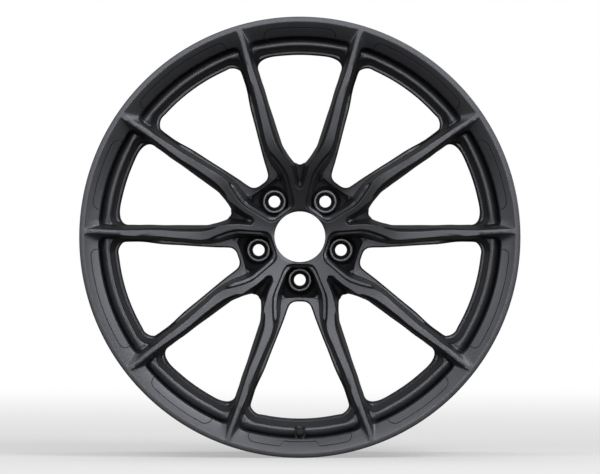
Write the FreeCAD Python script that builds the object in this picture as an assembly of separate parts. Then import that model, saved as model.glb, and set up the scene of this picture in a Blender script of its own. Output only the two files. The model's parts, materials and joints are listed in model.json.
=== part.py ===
"""Forged racing wheel rim, 20 x 9J, 5 x 108, as separate solids.

Working frame: x right, y up, z forward from the hub face.
Row frame: origin on the hub axis at the mounting face, spin axis along Y, face toward -Y, Z up.
Lengths in millimetres.
"""
import FreeCAD, Part
import math
import os

os.makedirs("parts", exist_ok=True)

V = FreeCAD.Vector

# ---- rim size (20 inch, J flange) ----
BEAD_SEAT_R = 256.4
FLANGE_HEIGHT = 17.5
FLANGE_WIDTH = 13.0
RIM_WIDTH = 228.6
OFFSET = 45.0
RIM_R = BEAD_SEAT_R + FLANGE_HEIGHT
FRONT_Z = RIM_WIDTH / 2 + FLANGE_WIDTH - OFFSET
REAR_Z = -RIM_WIDTH / 2 - FLANGE_WIDTH - OFFSET
WELL_DEPTH = 17.9
WELL_R = BEAD_SEAT_R - WELL_DEPTH
WALL = 6.0
WELD_Z = 12.0
WELL_END_Z = -30.0
LEG_START_Z = -66.0
LEG_DEPTH = 5.4
LEG_WALL = 5.5

# ---- hub ----
BORE_R = 31.7
LUG_CIRCLE_R = 54.0
LUG_COUNT = 5
LUG_HOLE_R = 7.25
PAD_R = 72.0
POCKET_FLOOR_Z = 14.0
POCKET_END_R = 75.5
LEDGE_DROP = 4.0

# ---- lug seats ----
SEAT_R = 14.6
SEAT_TOP_Z = 16.0
SEAT_FOOT_Z = 6.0
SEAT_MOUTH_R = 11.5
SEAT_HALF_ANGLE = 30.0
SEAT_GAP = 0.05

# ---- front of the rim between the spokes ----
RING_WIDTH = 6.4
LIP_OUTER_R = RIM_R - RING_WIDTH
LIP_INNER_R = BEAD_SEAT_R - 5.3
LIP_DROP = 6.0
SHOULDER_R = WELL_R + 1.0
SHOULDER_Z = FRONT_Z - 30.8
SILL_Z = 28.0
WINDOW_R = WELL_R - WALL - 5.9

# The outlines below are drawn for this bead seat radius and stretch with the real one.
DRAWN_FOR_R = 256.4
HUB_ZONE_R = 90.0

# ---- engraved panel lines on the lip ----
PANEL_LINE_R = (LIP_OUTER_R + LIP_INNER_R) / 2 + 1.0
PANEL_LINE_WIDTH = 0.9
PANEL_LINE_DEPTH = 0.5
PANEL_HALF_ANGLES = (7.5, 12.3)

# ---- valve ----
VALVE_TIP_R = WELL_R + 2.5
VALVE_LEAN = 10.0
VALVE_LENGTH = 28.0
VALVE_SEAT_Z = SHOULDER_Z - 1.1
VALVE_HOLE_R = 4.15
VALVE_WALL = 5.0
SPOTFACE_R = 7.0
INNER_SPOTFACE_R = 8.6
STEM_R = 3.9
STEM_TOP = 26.0
STEM_FOOT_R = 7.5
STEM_FOOT_H = 3.0
GROMMET_R = 6.9
GROMMET_H = 2.5
WASHER_R = 6.0
WASHER_H = 1.0
NUT_FLATS = 10.0
NUT_H = 5.0
CAP_R = 5.15
CAP_WALL_TOP = 1.2
CAP_FOOT = 17.0
CAP_SEAL_H = 0.8
CAP_CLEARANCE = 0.1
CAP_SEAL_GAP = 0.02
CORE_BORE_R = 2.65
CORE_STEP = 15.0
AIR_BORE_R = 2.0
CORE_BODY_R = 2.58
CORE_BODY_BORE_R = 1.15
CORE_BODY_TOP = 24.4
CORE_SEAL_H = 1.0
PIN_R = 0.5
PIN_TOP = 25.8
PIN_CUP_R = 1.7
PIN_CUP_H = 1.2
PIN_HEAD_R = 1.05
SPRING_WIRE_R = 0.16
SPRING_TURNS = 7.0

# Height of the spoke tops above the hub face, by distance from the axis.
CROWN = [(38.5, 52.2), (62.0, 60.5), (87.0, 69.0), (112.0, 75.5), (161.0, 80.0), (236.0, 82.0)]
CROWN_END_Z = FRONT_Z - 0.3
# Height of the foot ledge beside the spokes, and of the back of the spokes.
FOOT = [(72.0, 20.0), (81.0, 21.5), (120.0, 27.0), (170.0, 30.0), (226.6, 28.0)]
BACK = [(78.0, 4.0), (120.0, 10.0), (170.0, 14.0), (224.0, 18.0)]

# Outlines are half outlines: x runs to the left of a symmetry axis, y along it.
# Narrow window, inside one spoke pair.
NARROW_SIDE_TOP = [(-71.9, 257.7), (-66.3, 235.8), (-62.9, 223.4), (-55.4, 198.6),
                   (-45.3, 167.5), (-37.2, 136.5), (-31.0, 117.9)]
NARROW_SIDE_FOOT = [(-63.9, 255.7), (-58.7, 235.8), (-55.5, 223.4), (-48.9, 199.2),
                    (-38.5, 167.5), (-28.5, 136.5), (-22.3, 117.9)]
NARROW_END_TOP = [(-31.0, 117.9), (-27.6, 111.7), (-21.1, 102.4), (-14.1, 93.1), (0.0, 84.0)]
NARROW_END_FOOT = [(-22.3, 117.9), (-18.1, 108.6), (-14.1, 102.4), (-8.0, 94.5), (0.0, 90.4)]
NARROW_HOLE_CORNER = [(-37.2, 223.3), (-43.4, 221.5), (-49.6, 217.2), (-52.1, 211.0)]
NARROW_HOLE_SIDE = [(-52.1, 211.0), (-49.6, 201.7), (-38.5, 167.5), (-28.5, 136.5), (-22.3, 117.9)]
NARROW_HOLE_END = [(-22.3, 117.9), (-18.1, 108.6), (-14.1, 102.4), (-8.0, 94.5), (0.0, 90.4)]

# Wide window, over a lug hole.
WIDE_RIM_TOP = (-86.1, 253.3)
WIDE_RIM_FOOT = (-76.0, 252.0)
WIDE_SIDE_TOP = [(-84.5, 244.2), (-80.4, 233.1), (-75.6, 221.2), (-66.0, 197.5),
                 (-55.1, 167.1), (-42.7, 137.7), (-35.3, 120.1)]
WIDE_SIDE_FOOT = [(-76.5, 243.0), (-73.0, 232.0), (-68.5, 220.0), (-59.2, 196.5),
                  (-48.6, 165.5), (-36.4, 136.2), (-29.2, 119.0)]
POCKET_TOP = [(-35.3, 120.1), (-30.5, 108.0), (-27.6, 97.0), (-27.0, 85.0), (-25.2, 73.7),
              (-21.2, 61.3), (-19.4, 52.0), (-15.2, 42.7)]
POCKET_FOOT = [(-29.2, 119.0), (-26.5, 107.0), (-24.3, 96.5), (-23.8, 85.0), (-22.0, 72.5),
               (-18.6, 60.8), (-17.2, 52.0), (-13.4, 44.2)]
POCKET_CORNER_TOP = [(-15.2, 42.7), (-12.9, 40.2), (-9.5, 38.6)]
POCKET_CORNER_FOOT = [(-13.4, 44.2), (-11.4, 40.6), (-8.8, 39.2)]
STEP_SIDE = [(-34.5, 116.5), (-32.2, 107.0), (-32.7, 95.0), (-32.9, 77.0), (-28.7, 63.5),
             (-18.9, 40.5)]
STEP_CORNER = [(-18.9, 40.5), (-16.3, 36.8), (-11.5, 34.75)]
WIDE_HOLE_CORNER = [(-46.2, 221.9), (-52.9, 220.6), (-59.4, 215.0), (-58.8, 201.2)]
WIDE_HOLE_SIDE = [(-58.8, 201.2), (-44.6, 167.0), (-35.3, 143.1), (-25.8, 119.3), (-14.6, 89.1)]
WIDE_HOLE_END = [(-14.6, 89.1), (-11.3, 83.8), (-5.0, 81.2), (0.0, 80.9)]

GROOVE_START = 59.3
GROOVE_FLOOR_START = 57.0
GROOVE_STOP = 95.0
GROOVE_FLOOR_STOP = 27.0


def stretch(r):
    """Radius in the finished wheel of a radius in the drawn outlines."""
    if r <= HUB_ZONE_R:
        return r
    share = (r - HUB_ZONE_R) / (DRAWN_FOR_R - HUB_ZONE_R)
    return r + (BEAD_SEAT_R - DRAWN_FOR_R) * share


def stretched(table):
    return [(stretch(r), z) for r, z in table]


def placed(point):
    """Plan point of a drawn outline, moved outward with the bead seat."""
    r = math.hypot(point[0], point[1])
    k = stretch(r) / r if r > 0 else 1.0
    return (point[0] * k, point[1] * k)


def along(table, r):
    """Height from a table of (radius, height) pairs, straight between them."""
    if r <= table[0][0]:
        return table[0][1]
    for (r0, z0), (r1, z1) in zip(table, table[1:]):
        if r <= r1:
            return z0 + (z1 - z0) * (r - r0) / (r1 - r0)
    return table[-1][1]


def curve(points):
    """Line through two points, smooth curve through more."""
    if len(points) == 2:
        return Part.LineSegment(points[0], points[1]).toShape()
    spline = Part.BSplineCurve()
    spline.interpolate(points)
    return spline.toShape()


def arc(a, b, c):
    return Part.Arc(a, b, c).toShape()


def spin(edges):
    """Turn a closed section in the x-z plane round the wheel axis."""
    face = Part.Face(Part.Wire(edges))
    return face.revolve(V(0, 0, 0), V(0, 0, 1), 360)


def section(points):
    """Closed straight-sided section from (radius, height) pairs."""
    corners = [V(r, 0, z) for r, z in points]
    corners.append(corners[0])
    return [curve([a, b]) for a, b in zip(corners, corners[1:])]


def ring(points):
    return spin(section(points))


def to_row(shape):
    """Move from the working frame to the row frame."""
    moved = shape.copy()
    moved.rotate(V(0, 0, 0), V(1, 0, 0), 90)
    return moved


def save(name, shapes):
    solids = shapes if isinstance(shapes, list) else [shapes]
    solids = [solid for shape in solids for solid in shape.Solids]
    moved = [to_row(solid) for solid in solids]
    result = moved[0] if len(moved) == 1 else Part.makeCompound(moved)
    result.exportStep("parts/" + name + ".step")
    print(name, len(moved), round(sum(solid.Volume for solid in moved), 1),
          all(solid.isValid() for solid in moved))


def mirrored(points):
    return [(-x, y) for x, y in reversed(points)]


def mate_heights(top, foot, top_z, foot_z, z):
    """Point where the wall line through a top and a foot point crosses height z."""
    share = (z - foot_z) / (top_z - foot_z)
    return V(foot[0] + (top[0] - foot[0]) * share, foot[1] + (top[1] - foot[1]) * share, z)


def drafted_tool(parts, foot_height, z_high, z_low):
    """Solid with sloping walls between a top outline and a foot outline.

    parts: list of (top points, foot points), going round the outline once.
    foot_height: height of the foot points, as a function of the distance from the axis.
    """
    wires = []
    for z in (z_high, z_low):
        edges = []
        for top, foot in parts:
            points = []
            for a, b in zip(top, foot):
                top_z = along(CROWN, math.hypot(a[0], a[1]))
                foot_z = foot_height(math.hypot(b[0], b[1]))
                points.append(mate_heights(placed(a), placed(b), top_z, foot_z, z))
            edges.append(curve(points))
        wires.append(Part.Wire(edges))
    return Part.makeLoft(wires, True, True)


def outline(pieces):
    """Closed wire at z = 0 from lists of drawn (x, y) points."""
    edges = []
    for piece in pieces:
        moved = [placed(point) for point in piece]
        edges.append(curve([V(x, y, 0) for x, y in moved]))
    return Part.Wire(edges)


def prism(pieces, z_low, z_high):
    face = Part.Face(outline(pieces))
    face.translate(V(0, 0, z_low))
    return face.extrude(V(0, 0, z_high - z_low))


def rim_arc(corner):
    """Points on the circle round the axis through a left corner, from the right corner to the left."""
    radius = math.hypot(corner[0], corner[1])
    angle = math.atan2(-corner[0], corner[1])
    points = []
    for share in (1, 0.5, 0, -0.5, -1):
        points.append((radius * math.sin(angle * share), radius * math.cos(angle * share)))
    points[-1] = corner
    points[0] = (-corner[0], corner[1])
    return points


def rim_front():
    """(radius, height) pairs of the rim's front between the spokes, window edge to lip."""
    return [(WINDOW_R, SILL_Z), (WINDOW_R + 3.0, SILL_Z), (WELL_R - 6.5, SILL_Z + 2.0),
            (WELL_R - 5.3, SHOULDER_Z - 15.5), (WELL_R - 3.3, SHOULDER_Z - 5.5), (WELL_R - 1.7, SHOULDER_Z - 1.5),
            (SHOULDER_R, SHOULDER_Z), (SHOULDER_R + 3.5, SHOULDER_Z + 0.7),
            (LIP_INNER_R - 5.9, SHOULDER_Z + 2.5), (LIP_INNER_R - 4.7, SHOULDER_Z + 6.5),
            (LIP_INNER_R, FRONT_Z - LIP_DROP), (LIP_OUTER_R, FRONT_Z), (RIM_R + 3, FRONT_Z + 0.2)]


def face_blank():
    """Turned blank of the forged face, before the windows are cut."""
    crown = [V(r, 0, z) for r, z in stretched(CROWN)]
    back = [V(r, 0, z) for r, z in reversed(stretched(BACK))]
    well_bore = WELL_R - WALL
    edges = [
        curve([V(BORE_R, 0, 2.5), V(BORE_R, 0, 46.0)]),
        arc(V(BORE_R, 0, 46.0), V(33.6, 0, 50.3), V(38.5, 0, 52.2)),
        curve(crown),
    ]
    edges += section_run([
        (stretch(CROWN[-1][0]), CROWN_END_Z), (LIP_OUTER_R, FRONT_Z), (RIM_R - 3.5, FRONT_Z - 0.2)])
    edges += flange(1, FRONT_Z)
    seat_z = FRONT_Z - FLANGE_WIDTH
    edges += section_run([
        (BEAD_SEAT_R, seat_z - 6.5), (BEAD_SEAT_R - 1.1, seat_z - 19.8), (BEAD_SEAT_R - 0.5, seat_z - 21.3),
        (BEAD_SEAT_R - 1.2, seat_z - 23.1), (BEAD_SEAT_R - 3.4, seat_z - 24.8), (WELL_R + 5.0, seat_z - 26.8),
        (WELL_R + 1.5, seat_z - 28.3), (WELL_R, seat_z - 31.8), (WELL_R, WELD_Z + 3.0), (well_bore + 2.0, WELD_Z), (well_bore, WELD_Z),
        (well_bore, 14.0), (well_bore - 2.5, 17.0), (stretch(BACK[-1][0]), BACK[-1][1])])
    edges.append(curve(back))
    edges += section_run([
        (78.0, 4.0), (75.0, 3.5), (PAD_R, 0.5), (PAD_R - 0.5, 0.0), (BORE_R + 2.5, 0.0), (BORE_R, 2.5)])
    return spin(edges)


def flange(side, edge_z):
    """Outer edges of a J flange, from its outer face to the bead seat.

    side: 1 for the front flange, -1 for the rear one.
    edge_z: height of the flange's outer face.
    """
    def at(r, depth):
        return V(r, 0, edge_z - side * depth)
    root = BEAD_SEAT_R + 6.5
    return [
        arc(at(RIM_R - 3.5, 0.2), at(RIM_R - 1.0, 1.3), at(RIM_R, 3.8)),
        curve([at(RIM_R, 3.8), at(RIM_R, 6.0)]),
        arc(at(RIM_R, 6.0), at(RIM_R - 1.7, 8.6), at(RIM_R - 5.4, 10.0)),
        arc(at(RIM_R - 5.4, 10.0), at(root + 1.6, FLANGE_WIDTH - 1.0), at(root, FLANGE_WIDTH + 0.5)),
        arc(at(root, FLANGE_WIDTH + 0.5), at(root - 3.3, FLANGE_WIDTH + 4.4), at(BEAD_SEAT_R, FLANGE_WIDTH + 6.5)),
    ]


def section_run(points):
    corners = [V(r, 0, z) for r, z in points]
    return [curve([a, b]) for a, b in zip(corners, corners[1:])]


def narrow_cutter():
    top_arc = rim_arc(NARROW_SIDE_TOP[0])
    foot_arc = rim_arc(NARROW_SIDE_FOOT[0])
    parts = [
        (top_arc, foot_arc),
        (NARROW_SIDE_TOP, NARROW_SIDE_FOOT),
        (NARROW_END_TOP + mirrored(NARROW_END_TOP)[1:], NARROW_END_FOOT + mirrored(NARROW_END_FOOT)[1:]),
        (mirrored(NARROW_SIDE_TOP), mirrored(NARROW_SIDE_FOOT)),
    ]
    walls = drafted_tool(parts, lambda r: 20.0, FRONT_Z + 6, 16.0)
    air = ring([(20, 12), (WINDOW_R, 12)] + rim_front() + [(RIM_R + 3, 140), (20, 140)])
    hole = prism([rim_arc(NARROW_HOLE_CORNER[0]), NARROW_HOLE_CORNER, NARROW_HOLE_SIDE,
                  NARROW_HOLE_END + mirrored(NARROW_HOLE_END)[1:], mirrored(NARROW_HOLE_SIDE),
                  mirrored(NARROW_HOLE_CORNER)], -20, 60)
    return [walls.common(air), hole, groove_cutter()]


def groove_cutter():
    """Falling groove from the hub to the narrow window."""
    wires = []
    for y, floor_z, floor_w, top_w in ((GROOVE_START, GROOVE_FLOOR_START, 0.8, 8.5),
                                       (GROOVE_STOP, GROOVE_FLOOR_STOP, 4.0, 18.5)):
        corners = [V(-top_w, y, 85), V(-floor_w, y, floor_z), V(floor_w, y, floor_z), V(top_w, y, 85)]
        corners.append(corners[0])
        wires.append(Part.makePolygon(corners))
    return Part.makeLoft(wires, True, True)


def wide_cutter():
    top_arc = rim_arc(WIDE_RIM_TOP)
    foot_arc = rim_arc(WIDE_RIM_FOOT)
    top_side = [WIDE_RIM_TOP] + [WIDE_SIDE_TOP[0]]
    foot_side = [WIDE_RIM_FOOT] + [WIDE_SIDE_FOOT[0]]
    across = ([POCKET_CORNER_TOP[-1], (-POCKET_CORNER_TOP[-1][0], POCKET_CORNER_TOP[-1][1])],
              [POCKET_CORNER_FOOT[-1], (-POCKET_CORNER_FOOT[-1][0], POCKET_CORNER_FOOT[-1][1])])
    half = [
        (top_side, foot_side),
        (WIDE_SIDE_TOP, WIDE_SIDE_FOOT),
        (POCKET_TOP, POCKET_FOOT),
        (POCKET_CORNER_TOP, POCKET_CORNER_FOOT),
    ]
    other = [(mirrored(top), mirrored(foot)) for top, foot in reversed(half)]
    foot_height = lambda r: POCKET_FLOOR_Z if r < POCKET_END_R + 20 else along(FOOT, r)
    walls = drafted_tool([(top_arc, foot_arc)] + half + [across] + other, foot_height, FRONT_Z + 6, 13.0)
    floor = [(20, POCKET_FLOOR_Z), (POCKET_END_R, POCKET_FLOOR_Z), (POCKET_END_R + 1.5, 20.6)]
    air = ring(floor + stretched(FOOT)[2:-1] + rim_front() + [(RIM_R + 3, 140), (20, 140)])
    hole = prism([rim_arc(WIDE_HOLE_CORNER[0]), WIDE_HOLE_CORNER, WIDE_HOLE_SIDE,
                  WIDE_HOLE_END + mirrored(WIDE_HOLE_END)[1:], mirrored(WIDE_HOLE_SIDE),
                  mirrored(WIDE_HOLE_CORNER)], -20, 60)
    step = prism([STEP_SIDE, STEP_CORNER, [STEP_CORNER[-1], (-STEP_CORNER[-1][0], STEP_CORNER[-1][1])],
                  mirrored(STEP_CORNER), mirrored(STEP_SIDE), [(34.5, 116.5), (-34.5, 116.5)]], 20, 100)
    ledge = [(25.0, 40.0)] + [(r, z - LEDGE_DROP) for r, z in stretched(CROWN)[:5]]
    step = step.common(ring(ledge + [(ledge[-1][0], 140), (25, 140)]))
    return [walls.common(air), hole, step]


def panel_lines():
    """Shallow arcs on the lip, one over every window."""
    slope = LIP_DROP / (LIP_OUTER_R - LIP_INNER_R)
    z = FRONT_Z - (LIP_OUTER_R - PANEL_LINE_R) * slope
    half = PANEL_LINE_WIDTH / 2
    points = [(PANEL_LINE_R - half, z + 1), (PANEL_LINE_R - half, z - PANEL_LINE_DEPTH),
              (PANEL_LINE_R + half, z - PANEL_LINE_DEPTH), (PANEL_LINE_R + half, z + 1)]
    face = Part.Face(Part.Wire(section(points)))
    cuts = []
    for index in range(2 * LUG_COUNT):
        half_angle = PANEL_HALF_ANGLES[index % 2]
        cut = face.revolve(V(0, 0, 0), V(0, 0, 1), 2 * half_angle)
        cut.rotate(V(0, 0, 0), V(0, 0, 1), 90 + 36 * index - half_angle)
        cuts.append(cut)
    return cuts


def lug_angles():
    return [270 + 72 * index for index in range(LUG_COUNT)]


def at_lugs(shape):
    copies = []
    for angle in lug_angles():
        copy = shape.copy()
        copy.rotate(V(0, 0, 0), V(0, 0, 1), angle)
        copies.append(copy)
    return copies


def valve_place(shape):
    """From the valve's own frame (z toward the cap, seat at z = 0) to the wheel."""
    moved = shape.copy()
    moved.rotate(V(0, 0, 0), V(1, 0, 0), -VALVE_LEAN)
    reach = VALVE_LENGTH * math.sin(math.radians(VALVE_LEAN))
    moved.translate(V(0, -(VALVE_TIP_R + reach), VALVE_SEAT_Z))
    return moved


def forged_face():
    shape = face_blank()
    cutters = []
    for tools, start in ((narrow_cutter(), 0), (wide_cutter(), 36)):
        for index in range(LUG_COUNT):
            for tool in tools:
                copy = tool.copy()
                copy.rotate(V(0, 0, 0), V(0, 0, 1), 72 * index + start)
                cutters.append(copy)
    shape = shape.cut(cutters)
    seat_hole = Part.makeCylinder(SEAT_R + SEAT_GAP, 60, V(LUG_CIRCLE_R, 0, SEAT_FOOT_Z))
    seat_hole = seat_hole.common(Part.makeCylinder(SEAT_R + SEAT_GAP, POCKET_FLOOR_Z + 20 - SEAT_FOOT_Z,
                                                   V(LUG_CIRCLE_R, 0, SEAT_FOOT_Z)))
    bolt_hole = Part.makeCylinder(LUG_HOLE_R, 40, V(LUG_CIRCLE_R, 0, -5))
    shape = shape.cut(at_lugs(seat_hole) + at_lugs(bolt_hole))
    outer = valve_place(Part.makeCylinder(SPOTFACE_R, 40))
    inner = valve_place(Part.makeCylinder(INNER_SPOTFACE_R, 14, V(0, 0, -14 - VALVE_WALL)))
    hole = valve_place(Part.makeCylinder(VALVE_HOLE_R, 40, V(0, 0, -20)))
    shape = shape.cut([outer, inner, hole])
    return shape.cut(panel_lines())


def inner_barrel():
    """Rear half of the rim, one turned section."""
    seat_z = REAR_Z + FLANGE_WIDTH
    bore = WELL_R - WALL
    leg = BEAD_SEAT_R - LEG_DEPTH
    hump_z = seat_z + 21.0
    outer = [(bore, WELD_Z), (bore + 2.0, WELD_Z), (WELL_R, WELD_Z - 3.0), (WELL_R, WELL_END_Z),
             (WELL_R + 2.0, WELL_END_Z - 4.0), (leg - 1.5, LEG_START_Z + 4.0), (leg, LEG_START_Z),
             (leg, hump_z + 14.0), (leg + 1.5, hump_z + 8.0), (BEAD_SEAT_R - 1.0, hump_z + 1.3),
             (BEAD_SEAT_R - 0.5, hump_z), (BEAD_SEAT_R - 1.1, hump_z - 1.7), (BEAD_SEAT_R, seat_z + 6.5)]
    edges = section_run(outer) + flange(-1, REAR_Z)[::-1]
    skin = leg - LEG_WALL
    edges += section_run([(RIM_R - 3.5, REAR_Z + 0.2), (BEAD_SEAT_R + 4.6, REAR_Z), (BEAD_SEAT_R + 0.1, REAR_Z + 2.0),
                          (BEAD_SEAT_R - 4.4, REAR_Z + 8.0), (BEAD_SEAT_R - 6.2, seat_z + 6.0),
                          (BEAD_SEAT_R - 6.8, hump_z + 2.0), (skin + 1.5, hump_z + 10.0),
                          (skin, hump_z + 16.0), (skin, LEG_START_Z - 2.0), (skin - 1.5, LEG_START_Z + 3.0),
                          (bore + 2.0, WELL_END_Z - 6.0), (bore, WELL_END_Z), (bore, WELD_Z)])
    return spin(edges)


def weld_bead():
    root = WELL_R - WALL + 2.0
    edges = [
        curve([V(root, 0, WELD_Z), V(WELL_R, 0, WELD_Z + 3.0)]),
        arc(V(WELL_R, 0, WELD_Z + 3.0), V(WELL_R + 0.8, 0, WELD_Z), V(WELL_R, 0, WELD_Z - 3.0)),
        curve([V(WELL_R, 0, WELD_Z - 3.0), V(root, 0, WELD_Z)]),
    ]
    return spin(edges)


def lug_seat():
    depth = (SEAT_MOUTH_R - LUG_HOLE_R) / math.tan(math.radians(SEAT_HALF_ANGLE))
    shape = ring([(LUG_HOLE_R, SEAT_FOOT_Z), (SEAT_R, SEAT_FOOT_Z), (SEAT_R, SEAT_TOP_Z - 0.5),
                  (SEAT_R - 0.5, SEAT_TOP_Z), (SEAT_MOUTH_R, SEAT_TOP_Z), (LUG_HOLE_R, SEAT_TOP_Z - depth)])
    shape.translate(V(LUG_CIRCLE_R, 0, 0))
    return shape


def valve_parts():
    """All valve pieces in the valve's own frame."""
    wall = -VALVE_WALL
    grommet_foot = wall - GROMMET_H
    foot = grommet_foot - STEM_FOOT_H
    pieces = {}
    pieces["valve_stem"] = ring([
        (AIR_BORE_R, foot), (STEM_FOOT_R - 0.4, foot), (STEM_FOOT_R, foot + 0.4),
        (STEM_FOOT_R, grommet_foot), (STEM_R, grommet_foot), (STEM_R, STEM_TOP - 0.4),
        (STEM_R - 0.4, STEM_TOP), (CORE_BORE_R, STEM_TOP), (CORE_BORE_R, CORE_STEP),
        (AIR_BORE_R, CORE_STEP)])
    pieces["valve_grommet"] = ring([
        (STEM_R, grommet_foot), (GROMMET_R, grommet_foot), (GROMMET_R, wall),
        (VALVE_HOLE_R - 0.05, wall), (VALVE_HOLE_R - 0.05, -2.0), (STEM_R, -2.0)])
    pieces["valve_washer"] = ring([
        (STEM_R, 0), (WASHER_R, 0), (WASHER_R, WASHER_H), (STEM_R, WASHER_H)])
    corner = NUT_FLATS / math.sqrt(3)
    corners = [V(corner * math.cos(math.radians(60 * i)), corner * math.sin(math.radians(60 * i)), WASHER_H)
               for i in range(7)]
    nut = Part.Face(Part.makePolygon(corners)).extrude(V(0, 0, NUT_H))
    round_off = ring([(0, WASHER_H), (corner - 0.5, WASHER_H), (corner, WASHER_H + 0.4),
                      (corner, WASHER_H + NUT_H - 0.4), (corner - 0.5, WASHER_H + NUT_H),
                      (0, WASHER_H + NUT_H)])
    pieces["valve_nut"] = nut.common(round_off).cut(Part.makeCylinder(STEM_R, 20))
    seal_top = CORE_STEP + CORE_SEAL_H
    pieces["valve_core_seal"] = ring([
        (1.1, CORE_STEP), (CORE_BORE_R, CORE_STEP), (CORE_BORE_R, seal_top), (1.1, seal_top)])
    pieces["valve_core_body"] = ring([
        (0.75, seal_top), (CORE_BODY_R, seal_top), (CORE_BODY_R, CORE_BODY_TOP - 0.3),
        (CORE_BODY_R - 0.3, CORE_BODY_TOP), (CORE_BODY_BORE_R, CORE_BODY_TOP),
        (CORE_BODY_BORE_R, seal_top + 1.2), (0.75, seal_top + 1.2)])
    pieces["valve_core_pin"] = ring([
        (0, CORE_STEP - PIN_CUP_H), (PIN_CUP_R, CORE_STEP - PIN_CUP_H), (PIN_CUP_R, CORE_STEP),
        (PIN_R, CORE_STEP), (PIN_R, PIN_TOP - 1.2), (PIN_HEAD_R, PIN_TOP - 1.2),
        (PIN_HEAD_R, PIN_TOP - 0.2), (PIN_HEAD_R - 0.2, PIN_TOP), (0, PIN_TOP)])
    low = seal_top + 2.7
    high = PIN_TOP - 1.2 - SPRING_WIRE_R
    helix = Part.makeHelix((high - low) / SPRING_TURNS, high - low, 0.82)
    wire = Part.Wire(Part.makeCircle(SPRING_WIRE_R, V(0.82, 0, 0), V(0, 1, 0)))
    spring = Part.Wire(helix.Edges).makePipeShell([wire], True, True)
    spring.translate(V(0, 0, low))
    pieces["valve_core_spring"] = spring
    ceiling = STEM_TOP + CAP_SEAL_H + CAP_SEAL_GAP
    top = ceiling + CAP_WALL_TOP
    pieces["valve_cap_seal"] = ring([
        (0, STEM_TOP), (STEM_R + 0.05, STEM_TOP), (STEM_R + 0.05, STEM_TOP + CAP_SEAL_H),
        (0, STEM_TOP + CAP_SEAL_H)])
    cap = ring([
        (STEM_R + CAP_CLEARANCE, CAP_FOOT), (CAP_R, CAP_FOOT), (CAP_R, top - 0.8), (CAP_R - 0.8, top),
        (0, top), (0, ceiling), (STEM_R + CAP_CLEARANCE, ceiling)])
    flute = Part.makeCylinder(0.35, top - CAP_FOOT - 1.6, V(CAP_R + 0.12, 0, CAP_FOOT + 0.8))
    flutes = []
    for index in range(16):
        copy = flute.copy()
        copy.rotate(V(0, 0, 0), V(0, 0, 1), 360 / 16 * index)
        flutes.append(copy)
    pieces["valve_cap"] = cap.cut(flutes)
    return pieces


def main():
    save("forged_face", forged_face())
    save("inner_barrel", inner_barrel())
    save("weld_bead", weld_bead())
    for index, seat in enumerate(at_lugs(lug_seat())):
        save("lug_seat_" + str(index + 1), seat)
    for name, shape in valve_parts().items():
        save(name, valve_place(shape))


main()
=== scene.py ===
"""Forged racing wheel rim: detailed surfaces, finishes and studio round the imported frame."""

import json
import logging
import math
from dataclasses import dataclass
from enum import Enum
from typing import Callable, Iterable, Optional, Sequence

import bmesh
import bpy
import numpy as np
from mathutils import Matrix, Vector
from mathutils.geometry import delaunay_2d_cdt

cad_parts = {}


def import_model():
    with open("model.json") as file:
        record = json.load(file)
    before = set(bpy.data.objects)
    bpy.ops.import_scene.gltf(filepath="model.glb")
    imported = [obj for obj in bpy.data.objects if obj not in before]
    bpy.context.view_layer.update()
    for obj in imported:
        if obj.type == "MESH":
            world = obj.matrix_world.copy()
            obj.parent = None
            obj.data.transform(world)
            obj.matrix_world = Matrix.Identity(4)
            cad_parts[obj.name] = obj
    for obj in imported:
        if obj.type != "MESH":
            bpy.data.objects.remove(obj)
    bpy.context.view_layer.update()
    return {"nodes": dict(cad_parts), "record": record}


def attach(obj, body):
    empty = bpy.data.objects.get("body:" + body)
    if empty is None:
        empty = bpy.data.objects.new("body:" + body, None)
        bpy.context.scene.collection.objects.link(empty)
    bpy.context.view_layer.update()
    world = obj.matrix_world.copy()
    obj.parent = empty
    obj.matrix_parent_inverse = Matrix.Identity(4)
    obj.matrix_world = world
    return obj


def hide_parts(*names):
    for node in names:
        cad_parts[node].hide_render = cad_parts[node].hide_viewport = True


log = logging.getLogger("wheel")

MM = 0.001
PAIRS = 5
HALF_SECTOR = math.radians(36.0)
CREASE = math.radians(34.0)

Array = np.ndarray

# Filling: row height and clearance as shares of the spacing, and mm between points on circles.
ROW_SHARE = 0.87
CLEAR_SHARE = 0.42
RING_STEP = 3.0 / 0.63
MERGE = 1e-4


# --------------------------------------------------------------------------- curves and grids


def table(pairs: Sequence[tuple[float, float]], smooth: bool = True) -> Callable[[Array], Array]:
    """Turns (radius, height) pairs into a height function.

    Args:
        pairs: Radius and height in mm, radius rising.
        smooth: Runs a smooth curve through the pairs instead of straight lines.

    Returns:
        Function from radius to height, held level past both ends.
    """
    r = np.array([p[0] for p in pairs], float)
    z = np.array([p[1] for p in pairs], float)
    if smooth:
        fine = np.linspace(0.0, len(pairs) - 1.0, 40 * len(pairs))
        both = through(np.stack([r, z], axis=1), fine)
        r, z = both[:, 0], both[:, 1]
    return lambda q: np.interp(q, r, z)


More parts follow.
